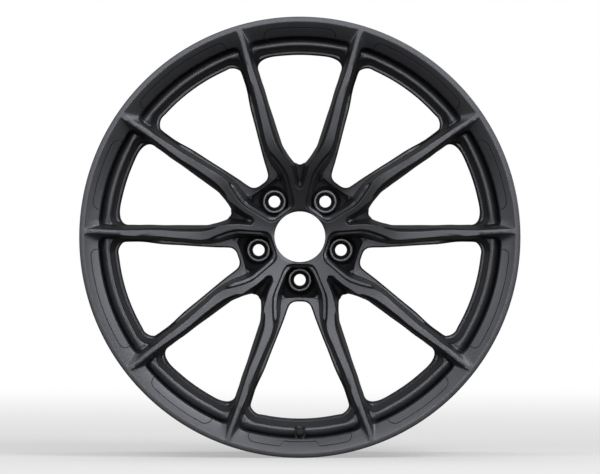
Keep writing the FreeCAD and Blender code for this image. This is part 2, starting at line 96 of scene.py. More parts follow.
def through(points: Array, where: Array) -> Array:
    """Smooth curve through control points: cubic pieces whose slopes are chord averages.

    Args:
        points: Array (n, ...) of control values, the first index running along the curve.
        where: Positions along the curve, 0 to n - 1.

    Returns:
        Array (len(where), ...) of values.
    """
    n = len(points)
    flat = points.reshape(n, -1)
    step = np.linalg.norm(np.diff(flat, axis=0), axis=1)
    step = np.maximum(step, 1e-6)
    slope = np.zeros_like(flat)
    chord = np.diff(flat, axis=0) / step[:, None]
    weight = step[:-1] / (step[:-1] + step[1:])
    slope[1:-1] = chord[:-1] * (1 - weight)[:, None] + chord[1:] * weight[:, None]
    slope[0], slope[-1] = chord[0], chord[-1]
    i = np.clip(where.astype(int), 0, n - 2)
    t = (where - i)[:, None]
    h = step[i][:, None]
    a, b = flat[i], flat[i + 1]
    m0, m1 = slope[i] * h, slope[i + 1] * h
    out = (
        (2 * t**3 - 3 * t**2 + 1) * a
        + (t**3 - 2 * t**2 + t) * m0
        + (3 * t**2 - 2 * t**3) * b
        + (t**3 - t**2) * m1
    )
    return out.reshape((len(where),) + points.shape[1:])


def steps_between(counts: Sequence[int]) -> Array:
    """Positions along a station list, with the given number of steps in each interval.

    Args:
        counts: Steps for each interval between stations.

    Returns:
        Rising positions from 0 to len(counts).
    """
    parts = [i + np.arange(c) / c for i, c in enumerate(counts)]
    return np.concatenate(parts + [np.array([float(len(counts))])])


def rounded(stations: Array, setbacks: Sequence[float], bits: int = 3) -> Array:
    """Rounds the inner corners of many cross-sections at once.

    Each corner is replaced by a parabola that leaves the first side and joins the
    next one at the same setback from the corner.

    Args:
        stations: Array (n, k, 3), one straight-sided cross-section for each station.
        setbacks: Setback in mm for each of the k - 2 inner corners.
        bits: Points on each rounding.

    Returns:
        Array (n, m, 3) of rounded cross-sections.
    """
    rows = [stations[:, 0]]
    for k in range(1, stations.shape[1] - 1):
        here, before, after = stations[:, k], stations[:, k - 1], stations[:, k + 1]
        if setbacks[k - 1] <= 0:
            rows.append(here)
            continue
        reach = []
        for other in (before, after):
            side = other - here
            length = np.linalg.norm(side, axis=1, keepdims=True) + 1e-9
            reach.append(here + side * np.minimum(setbacks[k - 1] / length, 0.46))
        for t in np.linspace(0.0, 1.0, bits + (setbacks[k - 1] > 3.0)):
            rows.append((1 - t) ** 2 * reach[0] + 2 * t * (1 - t) * here + t**2 * reach[1])
    rows.append(stations[:, -1])
    return np.stack(rows, axis=1)


def polar(radius: float, angle: float) -> tuple[float, float]:
    """Point on a circle, angle in degrees to the left of the upward axis."""
    a = math.radians(angle)
    return (-radius * math.sin(a), radius * math.cos(a))


def between(a: Sequence[float], b: Sequence[float], share: float) -> tuple[float, float]:
    """Plan point at a share of the way from a to b."""
    return (a[0] + (b[0] - a[0]) * share, a[1] + (b[1] - a[1]) * share)


def on_ray(direction: Sequence[float], radius: Array, height: Callable[[Array], Array]) -> Array:
    """Points on a ray from the wheel's axis.

    Args:
        direction: Unit plan direction of the ray.
        radius: Distances from the axis in mm.
        height: Height by distance from the axis.

    Returns:
        Array (n, 3).
    """
    radius = np.asarray(radius, float)
    return np.column_stack([direction[0] * radius, direction[1] * radius, height(radius)])


def on_arc(radius: float, angles: Array, height: float | Array) -> Array:
    """Points (n, 3) on a circle round the wheel's axis at polar angles in radians."""
    return np.column_stack([radius * np.cos(angles), radius * np.sin(angles), 0 * angles + height])


class Patchwork:
    """Collects grids and filled outlines in mm, working frame, and welds them into one mesh."""

    def __init__(self) -> None:
        """Starts with no surface."""
        self.verts: list[Array] = []
        self.faces: list[tuple[int, ...]] = []
        self.count = 0

    def add(self, verts: Array, faces: Iterable[Sequence[int]]) -> None:
        """Adds vertices (n, 3) and faces that index them.

        Args:
            verts: Array (n, 3).
            faces: Lists of indices into verts.
        """
        base = self.count
        self.verts.append(np.asarray(verts, float).reshape(-1, 3))
        self.count += len(self.verts[-1])
        self.faces.extend(tuple(base + int(i) for i in f) for f in faces)

    def grid(self, points: Array, closed: bool = False) -> None:
        """Adds a grid surface.

        Args:
            points: Array (n, m, 3).
            closed: Joins the last of the n lines back to the first.
        """
        n, m = points.shape[:2]
        index = np.arange(n * m).reshape(n, m)
        nxt = np.roll(index, -1, axis=0) if closed else index[1:]
        cur = index if closed else index[:-1]
        quads = np.stack([cur[:, :-1], nxt[:, :-1], nxt[:, 1:], cur[:, 1:]], axis=-1).reshape(-1, 4)
        self.add(points, quads)

    def fill(self, loop: Array, height: Callable[[Array], Array], spacing: float,
             rings: Sequence[float] = (), ring_span: tuple[float, float] = (0.0, 0.0)) -> None:
        """Fills a closed outline with triangles lifted to a height function.

        The plan is triangulated with the outline's edges kept; inner points lie on a
        staggered grid, and on circles round the wheel axis where the height has steps.

        Args:
            loop: Array (n, 3), the outline with its own heights.
            height: Height by plan position (n, 2), for inner points.
            spacing: Distance between inner points.
            rings: Radii of extra circles of inner points.
            ring_span: Polar angles in radians between which those circles run.
        """
        keep = [0]
        for i in range(1, len(loop)):
            if np.linalg.norm(loop[i, :2] - loop[keep[-1], :2]) > MERGE:
                keep.append(i)
        if np.linalg.norm(loop[keep[-1], :2] - loop[0, :2]) < MERGE:
            keep.pop()
        loop = loop[keep]
        n = len(loop)
        low, high = loop[:, :2].min(0), loop[:, :2].max(0)
        gx, gy = np.meshgrid(np.arange(low[0], high[0], spacing),
                             np.arange(low[1], high[1], spacing * ROW_SHARE))
        gx = gx + (np.arange(gx.shape[0]) % 2)[:, None] * spacing / 2
        inner = np.stack([gx.ravel(), gy.ravel()], axis=1)
        for radius in rings:
            span = np.linspace(ring_span[0], ring_span[1], max(4, int(radius / RING_STEP)))[1:-1]
            inner = np.concatenate([inner, radius * np.stack([np.cos(span), np.sin(span)], axis=1)])
        inner = inner[inside(inner, loop[:, :2])]
        clear = nearest(inner, loop[:, :2])
        inner = inner[clear > spacing * CLEAR_SHARE]
        flat = [Vector(p) for p in np.concatenate([loop[:, :2], inner])]
        edges = [(i, (i + 1) % n) for i in range(n)]
        verts, _, faces, origin, _, _ = delaunay_2d_cdt(flat, edges, [], 0, 1e-5)
        xy = np.array([(v[0], v[1]) for v in verts])
        z = height(xy)
        for i, sources in enumerate(origin):
            edge_sources = [s for s in sources if s < n]
            if edge_sources:
                z[i] = loop[edge_sources[0], 2]
        tris = np.array(faces)
        middle = xy[tris].mean(axis=1)
        side_a, side_b = xy[tris[:, 1]] - xy[tris[:, 0]], xy[tris[:, 2]] - xy[tris[:, 0]]
        area = np.abs(side_a[:, 0] * side_b[:, 1] - side_a[:, 1] * side_b[:, 0])
        tris = tris[inside(middle, loop[:, :2]) & (area > MERGE)]
        self.add(np.column_stack([xy, z]), tris)

    def mirrored_and_turned(self) -> "Patchwork":
        """Repeats a half sector by mirror image and by turns to the full circle.

        Returns:
            A new patchwork of the whole circle.
        """
        verts = np.concatenate(self.verts)
        whole = Patchwork()
        for flip in (1.0, -1.0):
            for index in range(PAIRS):
                a = 2 * math.pi * index / PAIRS
                x, y = verts[:, 0] * flip, verts[:, 1]
                turned = np.column_stack([
                    x * math.cos(a) - y * math.sin(a),
                    x * math.sin(a) + y * math.cos(a),
                    verts[:, 2],
                ])
                faces = self.faces if flip > 0 else [f[::-1] for f in self.faces]
                whole.add(turned, faces)
        return whole

    def build(self, name: str, weld: float = 0.02) -> bpy.types.Object:
        """Makes the welded, outward-facing object in the row frame.

        Args:
            name: Name of the new object.
            weld: Merge distance in mm.

        Returns:
            The linked object.
        """
        verts = np.concatenate(self.verts)
        row = np.column_stack([verts[:, 0], -verts[:, 2], verts[:, 1]]) * MM
        mesh = bpy.data.meshes.new(name)
        mesh.from_pydata(row.tolist(), [], self.faces)
        work = bmesh.new()
        work.from_mesh(mesh)
        bmesh.ops.remove_doubles(work, verts=work.verts, dist=weld * MM)
        bmesh.ops.dissolve_degenerate(work, edges=work.edges, dist=weld * MM * 0.1)
        bmesh.ops.recalc_face_normals(work, faces=work.faces)
        open_edges = sum(1 for e in work.edges if len(e.link_faces) != 2)
        for f in work.faces:
            f.smooth = True
        work.to_mesh(mesh)
        work.free()
        mesh.set_sharp_from_angle(angle=CREASE)
        obj = bpy.data.objects.new(name, mesh)
        bpy.context.collection.objects.link(obj)
        triangles = sum(len(p.vertices) - 2 for p in mesh.polygons)
        log.info("%s: %d triangles, %d open edges", name, triangles, open_edges)
        return obj


def turned(height: Callable[[Array], Array]) -> Callable[[Array], Array]:
    """Height by plan position from a height by distance from the wheel axis."""
    return lambda xy: height(np.hypot(xy[:, 0], xy[:, 1]))


def inside(points: Array, loop: Array) -> Array:
    """Even-odd test of points against a closed outline.

    Args:
        points: Array (n, 2).
        loop: Array (m, 2), the outline's corners.

    Returns:
        Array (n,), true inside the outline.
    """
    x, y = points[:, 0][:, None], points[:, 1][:, None]
    ax, ay = loop[:, 0][None], loop[:, 1][None]
    bx, by = np.roll(ax, -1), np.roll(ay, -1)
    crosses = (ay > y) != (by > y)
    with np.errstate(divide="ignore", invalid="ignore"):
        cut = ax + (y - ay) * (bx - ax) / (by - ay)
    return ((crosses & (x < cut)).sum(axis=1) % 2) == 1


def nearest(points: Array, loop: Array) -> Array:
    """Distance from each point to the nearest corner or edge of an outline.

    Args:
        points: Array (n, 2).
        loop: Array (m, 2), the outline's corners.

    Returns:
        Array (n,) of distances.
    """
    a = loop[None]
    b = np.roll(loop, -1, axis=0)[None]
    side = b - a
    p = points[:, None] - a
    t = np.clip((p * side).sum(-1) / ((side * side).sum(-1) + 1e-12), 0, 1)
    return np.linalg.norm(p - side * t[..., None], axis=-1).min(axis=1)


def revolve(profile: Array, angles: Array) -> Array:
    """Grid of a profile of (radius, height) turned to the given polar angles in radians.

    Args:
        profile: Array (m, 2) of radius and height.
        angles: Polar angles in radians.

    Returns:
        Array (n, m, 3), one line for each angle.
    """
    c, s = np.cos(angles)[:, None], np.sin(angles)[:, None]
    r, z = profile[:, 0][None], profile[:, 1][None]
    return np.stack([r * c, r * s, np.broadcast_to(z, (len(angles), len(profile)))], axis=-1)


def rounded_profile(corners: Sequence[tuple[float, float, float]], bits: int = 4) -> Array:
    """Rounded (radius, height) profile from (radius, height, setback) corners."""
    points = np.array([[(r, 0.0, z) for r, z, _ in corners]], float)
    return rounded(points, [c[2] for c in corners[1:-1]], bits)[0][:, [0, 2]]


# --------------------------------------------------------------------------- the forged face


@dataclass(frozen=True)
class ValvePlace:
    """Where the valve stands: seat point, lean toward the axis and facing, mm and radians."""

    seat_radius: float = 245.862
    seat_height: float = 50.4
    lean: float = math.radians(10.0)
    facing_radius: float = 7.0

    def put(self, grid: Array) -> Array:
        """Moves points from the valve's own frame, z along its axis, to the wheel's frame.

        Args:
            grid: Array (..., 3) in the valve's own frame, z along its axis.

        Returns:
            The points in the wheel's frame.
        """
        c, s = math.cos(self.lean), math.sin(self.lean)
        x, y, z = grid[..., 0], grid[..., 1], grid[..., 2]
        return np.stack([x, y * c + z * s - self.seat_radius, z * c - y * s + self.seat_height], axis=-1)


VALVE_PLACE = ValvePlace()


@dataclass(frozen=True)
class FaceSize:
    """Driving sizes of the forged face in mm, heights from the hub face."""

    ring_radius: float = 268.7
    rim_radii: tuple[float, ...] = (267.5, 250.5, 249.5, 245.7, 236.7, 231.9, 230.9, 228.9, 226.7)
    rim_heights: tuple[float, ...] = (82.3, 76.5, 44.0, 50.6, 52.0, 31.0, 27.8, 28.5, 24.0)
    crown: tuple[tuple[float, float], ...] = (
        (31.7, 46.0), (31.9, 46.4), (32.3, 46.7), (33.0, 47.0), (34.4, 47.5), (38.8, 48.8),
        (45.0, 50.9), (62.0, 57.0), (87.0, 66.4), (112.0, 73.4), (161.0, 79.1), (236.0, 82.0),
        (268.7, 82.3))
    foot: tuple[tuple[float, float], ...] = (
        (72.0, 20.0), (81.0, 21.5), (120.0, 27.0), (170.0, 30.0), (226.6, 28.0))
    back: tuple[tuple[float, float], ...] = (
        (34.2, 0.0), (71.5, 0.0), (72.0, 0.5), (75.0, 3.5), (78.0, 4.0), (120.0, 10.0),
        (170.0, 14.0), (224.0, 18.0), (230.0, 17.0), (232.5, 14.0))
    groove: tuple[tuple[float, float], ...] = ((59.0, 53.5), (69.5, 47.5), (71.5, 44.0), (90.4, 27.0))
    bore: float = 31.7
    lug_circle: float = 54.0
    lug_hole: float = 7.25
    seat_radius: float = 14.63
    seat_foot: float = 6.0
    pocket_floor: float = 14.0
    pit_floor: float = 2.2
    boss_radius: float = 14.7
    boss_slope: float = 1.45
    pit_slope: float = 0.42
    pit_start: float = 4.0
    pit_from: float = 52.0
    pit_reach: float = 10.0
    edge_inset: float = 1.2
    recess_half: float = 6.3
    recess_floor: float = 43.0
    recess_rise: float = 5.0
    recess_centre: float = 237.2
    recess_reach: float = 246.5
    recess_wall: float = 250.2
    recess_low: float = 30.0
    hole_inset: float = 1.9
    hole_steps: tuple[float, ...] = (-4.0, -6.5)
    bore_heights: tuple[float, ...] = (30.0, 15.0, 2.5)
    bore_chamfer: float = 2.5


class ForgedFace:
    """Spokes, hub, pockets, lip, front flange and front bead seat as one closed surface."""

    # Corner of the narrow window: lip edge, cone edge, wall foot, shoulder, shoulder edge,
    # second wall foot, sill, hole edge, hole. Left half, mm.
    NARROW_CORNER = (
        ((-57.0, 261.3), (-51.5, 245.1), (-51.0, 244.1), (-49.8, 240.6), (-47.4, 232.3),
         (-46.1, 227.2), (-45.6, 226.0), (-44.6, 223.9), (-43.4, 221.5)),
        ((-65.8, 259.3), (-57.7, 243.6), (-56.6, 242.9), (-54.5, 239.5), (-51.5, 230.8),
         (-49.9, 225.3), (-49.5, 224.0), (-48.5, 221.8), (-47.2, 219.4)),
        ((-71.9, 257.7), (-61.2, 241.8), (-59.9, 241.0), (-57.4, 237.1), (-54.2, 228.7),
         (-52.3, 223.0), (-51.8, 221.6), (-50.9, 219.4), (-49.6, 217.2)),
        ((-69.5, 248.2), (-62.7, 237.1), (-61.3, 236.4), (-58.6, 231.5), (-55.8, 224.0),
         (-54.3, 219.1), (-53.8, 217.6), (-52.9, 215.8), (-51.5, 214.1)),
        ((-66.3, 235.8), (-62.8, 230.8), (-61.7, 230.4), (-59.4, 226.2), (-56.8, 220.0),
         (-55.3, 215.7), (-54.7, 214.0), (-53.7, 212.3), (-52.1, 211.0)),
        ((-62.9, 223.4), (-61.1, 222.2), (-60.3, 222.1), (-58.6, 220.0), (-56.2, 215.4),
         (-54.8, 212.0), (-54.1, 210.8), (-53.2, 209.6), (-51.8, 208.5)),
    )
    NARROW_CORNER_HEIGHTS = (
        (82.3, 76.5, 44.0, 50.6, 52.0, 31.0, 27.8, 28.5, 24.0),
        (82.3, 76.5, 44.5, 50.8, 51.6, 31.0, 27.9, 28.3, 24.0),
        (82.2, 77.0, 46.5, 51.4, 50.6, 32.0, 28.6, 27.6, 23.5),
        (82.0, 78.0, 53.0, 51.8, 47.6, 33.5, 29.4, 27.0, 23.0),
        (81.9, 79.2, 63.0, 54.0, 47.0, 35.0, 30.0, 26.0, 22.5),
        (81.7, 80.0, 69.0, 58.0, 50.0, 37.0, 30.5, 25.5, 22.0),
    )
    # Narrow side of a spoke: top edge, facet edge, hole edge.
    NARROW_SPOKE = (
        ((-59.6, 211.0), (-57.8, 210.5), (-50.4, 204.2)),
        ((-55.4, 198.6), (-53.4, 197.8), (-47.2, 193.6)),
        ((-51.1, 186.2), (-48.7, 185.2), (-43.9, 184.3)),
        ((-45.3, 167.5), (-42.3, 166.6), (-38.5, 165.7)),
        ((-40.8, 148.9), (-37.0, 147.7), (-32.3, 147.1)),
        ((-37.2, 136.5), (-33.0, 135.0), (-28.3, 134.4)),
        ((-33.3, 124.1), (-28.5, 122.4), (-24.1, 121.6)),
        ((-31.0, 117.9), (-25.8, 115.4), (-21.6, 114.2)),
        ((-27.6, 111.7), (-21.8, 107.5), (-17.6, 107.4)),
        ((-21.1, 102.4), (-16.8, 98.9), (-13.2, 100.5)),
        ((-17.0, 99.3), (-13.4, 95.8), (-9.9, 96.2)),
        ((-14.1, 93.1), (-11.0, 91.3), (-7.2, 93.1)),
    )
    NARROW_FACET_DROP = (1.6, 1.8, 2.3, 3.2, 4.0, 4.6, 5.2, 5.8, 6.6, 8.0, 10.0, 16.0)
    # Groove from the narrow window to the hub: top edge, wall foot, hole edge.
    GROOVE = (
        ((-11.8, 86.9), (-4.6, 88.2), (-4.0, 91.8)),
        ((-9.4, 80.7), (-3.0, 82.3), (-2.8, 91.1)),
        ((-7.6, 74.5), (-2.2, 76.0), (-2.0, 90.7)),
        ((-6.1, 68.3), (-1.7, 69.5), (-1.4, 90.5)),
        ((-4.2, 62.1), (-1.2, 64.0), (-0.8, 90.4)),
        ((0.0, 59.3), (0.0, 62.1), (0.0, 90.4)),
    )
    # Corner of the wide window, same order without the last two, then the hole edge.
    WIDE_CORNER = (
        ((-67.5, 258.8), (-61.3, 242.9), (-60.8, 241.9), (-59.4, 238.4), (-56.5, 230.2),
         (-54.3, 225.4), (-54.0, 224.5), (-52.9, 220.6)),
        ((-78.0, 255.8), (-68.4, 241.0), (-67.8, 239.9), (-65.9, 236.0), (-62.1, 227.6),
         (-59.2, 222.1), (-58.7, 221.3), (-57.0, 217.8)),
        ((-86.1, 253.3), (-73.6, 238.3), (-72.8, 237.2), (-70.4, 232.9), (-66.2, 224.2),
         (-62.8, 218.0), (-62.2, 217.2), (-59.8, 214.3)),
        ((-84.5, 244.2), (-75.4, 234.0), (-74.7, 232.8), (-72.3, 228.4), (-68.1, 219.6),
         (-64.7, 213.2), (-64.0, 212.7), (-61.2, 210.9)),
        ((-80.4, 233.1), (-74.8, 228.7), (-74.0, 227.3), (-71.6, 222.3), (-67.7, 214.0),
         (-64.7, 207.9), (-63.9, 207.6), (-60.5, 206.8)),
        ((-75.6, 221.2), (-72.3, 219.3), (-71.3, 218.4), (-68.6, 214.2), (-65.2, 207.4),
         (-62.5, 202.4), (-62.0, 202.1), (-58.8, 201.2)),
        ((-68.6, 204.0), (-66.8, 201.0), (-65.8, 200.8), (-63.5, 198.1), (-60.6, 193.4),
         (-58.8, 190.9), (-58.3, 190.7), (-55.2, 190.0)),
    )
    WIDE_CORNER_HEIGHTS = (
        (82.3, 76.5, 44.0, 50.6, 52.0, 31.0, 27.8),
        (82.3, 76.5, 44.5, 50.8, 51.6, 31.0, 28.0),
        (82.3, 76.8, 46.5, 51.4, 50.8, 31.5, 28.4),
        (82.1, 77.6, 51.5, 51.4, 48.6, 32.0, 28.8),
        (81.9, 78.6, 60.0, 53.0, 47.0, 33.0, 29.4),
        (81.7, 79.6, 67.0, 57.0, 49.0, 33.5, 29.6),
        (81.3, 79.6, 70.0, 60.0, 52.0, 34.0, 30.0),
    )
    # Wide side of a spoke: top edge, foot of the wall, hole edge.
    WIDE_SPOKE = (
        ((-55.1, 167.1), (-48.6, 165.5), (-44.6, 167.0)),
        ((-45.0, 143.2), (-38.6, 141.2), (-35.3, 143.1)),
        ((-35.3, 120.1), (-29.2, 119.0), (-25.8, 119.3)),
    )
    # Lug pocket: step edge, step foot, ledge edge, wall foot.
    POCKET = (
        ((-34.1, 115.9), (-32.5, 115.1), (-31.1, 114.4), (-27.4, 112.6)),
        ((-33.3, 111.6), (-31.6, 110.6), (-29.8, 109.4), (-25.9, 107.0)),
        ((-33.1, 106.8), (-31.5, 105.7), (-28.7, 103.8), (-25.0, 101.4)),
        ((-34.0, 99.5), (-32.1, 98.9), (-28.6, 97.9), (-24.2, 96.5)),
        ((-34.4, 91.4), (-32.4, 91.3), (-28.7, 91.1), (-23.9, 90.8)),
        ((-34.5, 83.7), (-32.5, 83.5), (-28.8, 83.0), (-23.4, 82.4)),
        ((-34.2, 77.6), (-32.2, 77.6), (-28.5, 77.6), (-22.5, 77.5)),
        ((-33.8, 74.3), (-31.8, 74.6), (-28.1, 75.4), (-22.3, 77.1)),
        ((-32.6, 69.7), (-30.6, 69.5), (-26.9, 69.0), (-20.9, 68.4)),
        ((-30.3, 63.7), (-28.3, 63.4), (-24.6, 62.8), (-19.0, 62.0)),
        ((-27.7, 57.9), (-25.8, 57.4), (-22.2, 56.4), (-17.8, 55.2)),
        ((-25.4, 52.1), (-23.5, 51.6), (-19.9, 50.6), (-16.6, 49.6)),
        ((-23.0, 45.9), (-21.0, 45.6), (-17.3, 45.0), (-14.4, 44.6)),
        ((-20.4, 40.0), (-18.5, 40.6), (-15.0, 41.9), (-12.9, 42.6)),
        ((-17.0, 35.8), (-15.5, 37.2), (-12.8, 39.7), (-11.4, 41.0)),
        ((-11.5, 33.8), (-10.8, 35.3), (-9.6, 37.6), (-8.8, 39.2)),
        ((-5.7, 33.5), (-5.4, 35.1), (-5.0, 37.7), (-4.8, 39.0)),
        ((0.0, 33.5), (0.0, 35.1), (0.0, 37.7), (0.0, 39.1)),
    )
    WIDE_HOLE_END = ((-18.9, 101.3), (-14.6, 89.1), (-13.3, 86.2), (-11.3, 83.8), (-8.6, 82.0),
                     (-4.6, 81.0), (0.0, 80.9))
    LIMIT_TOP = ((-22.5, 77.5), (-12.0, 76.4), (0.0, 76.0))
    LIMIT_FOOT = ((-22.3, 77.1), (-12.0, 76.0), (0.0, 75.6))
    # Steps and heights of the cross-sections.
    NARROW_RIM = ((0.0, 1), (1.0, 4), (4.8, 5), (9.5, 4))
    WIDE_RIM = ((0.0, 4), (1.2, 3), (2.4, 4), (5.9, 6), (11.8, 4))
    NARROW_WALL = ((0.0, 0.0), (0.18, 0.2), (0.36, 0.4), (0.54, 0.6), (0.75, 0.8), (0.88, 0.92),
                   (0.96, 1.0))
    WIDE_WALL = ((0.12, 0.06), (0.3, 0.27), (0.5, 0.5), (0.7, 0.73), (0.88, 0.92), (1.0, 1.0))
    POCKET_WALL = ((0.3, 0.3), (0.6, 0.62), (0.86, 0.93), (1.0, 1.0))
    GROOVE_SHARES = (0.0, 0.1, 0.22, 0.36, 0.54, 0.74, 0.95)
    GROOVE_BOWL = 0.07
    NARROW_LOW = 25.0
    NARROW_HOLE = 22.0
    GROOVE_HOLE = 24.0
    STEP_DROP = 6.0
    LEDGE_FALL = 0.4
    STEP_FROM = 112.0
    STEP_BLEND = 6.0
    LIMIT = 77.3
    NARROW_SETBACKS = (1.0, 1.4, 1.6, 3.9, 3.8, 1.2, 0.6, 0.7, 0.0)
    WIDE_SETBACKS = (1.0, 1.3, 1.6, 3.9, 3.8, 0.9)
    PAIR_AXIS = (0.0, 1.0)
    LUG_AXIS = (-math.sin(HALF_SECTOR), math.cos(HALF_SECTOR))
    SPAN = (math.pi / 2, math.pi / 2 + HALF_SECTOR)
    HUB_RINGS = (31.9, 32.3, 33.0, 34.4, 36.4, 39.0)
    BACK_RINGS = (71.5, 72.0, 75.0, 78.0)
    TOP_STEPS = 4
    POCKET_STEPS = 3
    LIMIT_STEPS = 8
    HALF_TURN_POINTS = 25
    BORE_POINTS = 13
    TIP_POINTS = 7
    # Spacing of inner points, mm.
    WEB_SPACING = 2.4
    POCKET_SPACING = 1.7
    TOP_SPACING = 3.4
    BACK_SPACING = 6.5

    def __init__(self, size: FaceSize) -> None:
        """Prepares the height curves."""
        self.size = size
        self.crown = table(size.crown)
        self.foot = table(size.foot, smooth=False)
        self.back = table(size.back, smooth=False)
        self.groove = table(size.groove, smooth=False)

    # ---- cross-section stations

    def rim_station(self, angle: float, count: int) -> list[tuple[float, float, float]]:
        """Points of the rim's front at a polar angle in degrees from the window's axis."""
        s = self.size
        return [polar(r, angle) + (z,) for r, z in zip(s.rim_radii[:count], s.rim_heights[:count])]

    def narrow_stations(self) -> tuple[Array, list[int]]:
        """Cross-sections round the left half of a narrow window, rim to groove end.

        Returns:
            Array (n, 9, 3) and the number of steps wanted after each station.
        """
        stations: list[list[tuple[float, float, float]]] = []
        steps: list[int] = []
        for angle, count in self.NARROW_RIM:
            stations.append(self.rim_station(angle, 9))
            steps.append(count)
        for plan, heights in zip(self.NARROW_CORNER, self.NARROW_CORNER_HEIGHTS):
            stations.append([p + (z,) for p, z in zip(plan, heights)])
            steps.append(self.TOP_STEPS)
        for (top, facet, hole), drop in zip(self.NARROW_SPOKE, self.NARROW_FACET_DROP):
            z_top = float(self.crown(math.hypot(*top)))
            line = [top + (z_top,)]
            for across, down in self.NARROW_WALL:
                z = (z_top - drop) + (self.NARROW_LOW - z_top + drop) * down
                line.append(between(facet, hole, across) + (z,))
            line.append(hole + (self.NARROW_HOLE,))
            stations.append(line)
            steps.append(self.POCKET_STEPS)
        for top, foot, hole in self.GROOVE:
            line = [top + (float(self.crown(math.hypot(*top))),)]
            for share in self.GROOVE_SHARES:
                x, y = between(foot, hole, share)
                line.append((x, y, float(self.groove(y)) + self.GROOVE_BOWL * x * x))
            line.append(hole + (self.GROOVE_HOLE,))
            stations.append(line)
            steps.append(self.POCKET_STEPS)
        return np.array(stations, float), steps[:-1]

    def wide_stations(self) -> tuple[Array, list[int], int]:
        """Cross-sections round the left half of a wide window and its lug pocket.

        Returns:
            Array (n, 7, 3), steps after each station, and the index of the last
            station above the pocket's outer limit.
        """
        stations: list[list[tuple[float, float, float]]] = []
        steps: list[int] = []
        for angle, count in self.WIDE_RIM:
            stations.append(self.rim_station(angle, 7))
            steps.append(count)
        for plan, heights in zip(self.WIDE_CORNER, self.WIDE_CORNER_HEIGHTS):
            stations.append([p + (z,) for p, z in zip(plan[:7], heights)])
            steps.append(self.TOP_STEPS)
        for top, foot, _ in self.WIDE_SPOKE:
            z_top = float(self.crown(math.hypot(*top)))
            z_low = float(self.foot(math.hypot(*foot)))
            line = [top + (z_top,)]
            for across, down in self.WIDE_WALL:
                line.append(between(top, foot, across) + (z_top + (z_low - z_top) * down,))
            stations.append(line)
            steps.append(self.TOP_STEPS)
        limit = 0
        for top, step_foot, ledge, foot in self.POCKET:
            z_top = float(self.crown(math.hypot(*top)))
            outside = foot[1] > self.LIMIT
            z_low = float(self.foot(math.hypot(*foot)) if outside else self.depth(*foot))
            blend = min(max((self.STEP_FROM - top[1]) / self.STEP_BLEND, 0.0), 1.0)
            wide = math.dist(top, foot)
            line = [top + (z_top,)]
            for point, fall in ((step_foot, 0.0), (ledge, self.LEDGE_FALL)):
                on_wall = z_top + (z_low - z_top) * math.dist(top, point) / wide
                line.append(point + (on_wall + (z_top - self.STEP_DROP - fall - on_wall) * blend,))
            z_ledge = line[-1][2]
            for across, down in self.POCKET_WALL:
                line.append(between(ledge, foot, across) + (z_ledge + (z_low - z_ledge) * down,))
            stations.append(line)
            steps.append(self.POCKET_STEPS)
            if outside:
                limit = len(stations) - 1
        return np.array(stations, float), steps[:-1], limit

    def with_inset(self, stations: Array) -> Array:
        """Adds a first point on the top surface, set back from the top edge.

        Args:
            stations: Array (n, k, 3), first point on the edge.

        Returns:
            Array (n, k + 1, 3).
        """
        top, nxt = stations[:, 0], stations[:, 1]
        away = top[:, :2] - nxt[:, :2]
        away /= np.linalg.norm(away, axis=1, keepdims=True) + 1e-9
        point = top[:, :2] + away * self.size.edge_inset
        radius = np.linalg.norm(point, axis=1)
        on_rim = np.linalg.norm(top[:, :2], axis=1) > self.size.rim_radii[0] - 1.3
        scale = np.where(on_rim, self.size.ring_radius / radius, 1.0)
        point = point * scale[:, None]
        z = self.crown(np.linalg.norm(point, axis=1))
        return np.concatenate([np.column_stack([point, z])[:, None], stations], axis=1)

    def to_pair(self, points: Array) -> Array:
        """Turns points of the wide window's frame (left half) into the spoke pair's frame.

        Args:
            points: Array (..., 3).

        Returns:
            The turned points.
        """
        c, s = math.cos(HALF_SECTOR), math.sin(HALF_SECTOR)
        x, y = -points[..., 0], points[..., 1]
        return np.stack([x * c - y * s, x * s + y * c, points[..., 2]], axis=-1)

    # ---- assembly

    def half_sector(self) -> tuple[Patchwork, Array]:
        """All patches between a spoke pair's axis and the next lug axis.

        Returns:
            The patches, and the polar angles of the vertices on the outer joint circle.
        """
        patches = Patchwork()
        grid_a, hole_back = self.narrow_side(patches)
        grid_b, edge, limits = self.wide_side(patches)
        foot_line = grid_b[:, -1]
        limit_foot = self.web(patches, foot_line, edge, limits)
        lug = self.pocket(patches, foot_line[limits[1]:], limit_foot)
        rim_a, top_a = self.split_on_ring(grid_a[:, 0])
        rim_b, top_b = self.split_on_ring(grid_b[:, 0])
        tip, bore_arc = self.hub_top(patches, top_a, top_b)
        bore_end = self.bore_wall(patches, bore_arc)
        angles = [np.arctan2(line[:, 1], line[:, 0]) for line in (rim_a, rim_b)]
        rim_angles = np.unique(np.round(np.concatenate([angles[0], tip, angles[1]]), 7))
        self.back_side(patches, rim_angles, hole_back, edge[:, 3], lug, bore_end)
        return patches, rim_angles

    def narrow_side(self, patches: Patchwork) -> tuple[Array, Array]:
        """Adds the side of the narrow window and of its groove.

        Args:
            patches: Where the grid goes.

        Returns:
            The side's grid, and the hole's edge on the back.
        """
        narrow, steps = self.narrow_stations()
        narrow = self.with_inset(through(narrow, steps_between(steps)))
        hole_back = narrow[:, -1].copy()
        hole_back[:, 2] = self.back(np.hypot(hole_back[:, 0], hole_back[:, 1]))
        section = np.concatenate([narrow, hole_back[:, None]], axis=1)
        grid = rounded(section, self.NARROW_SETBACKS)
        patches.grid(grid)
        return grid, hole_back

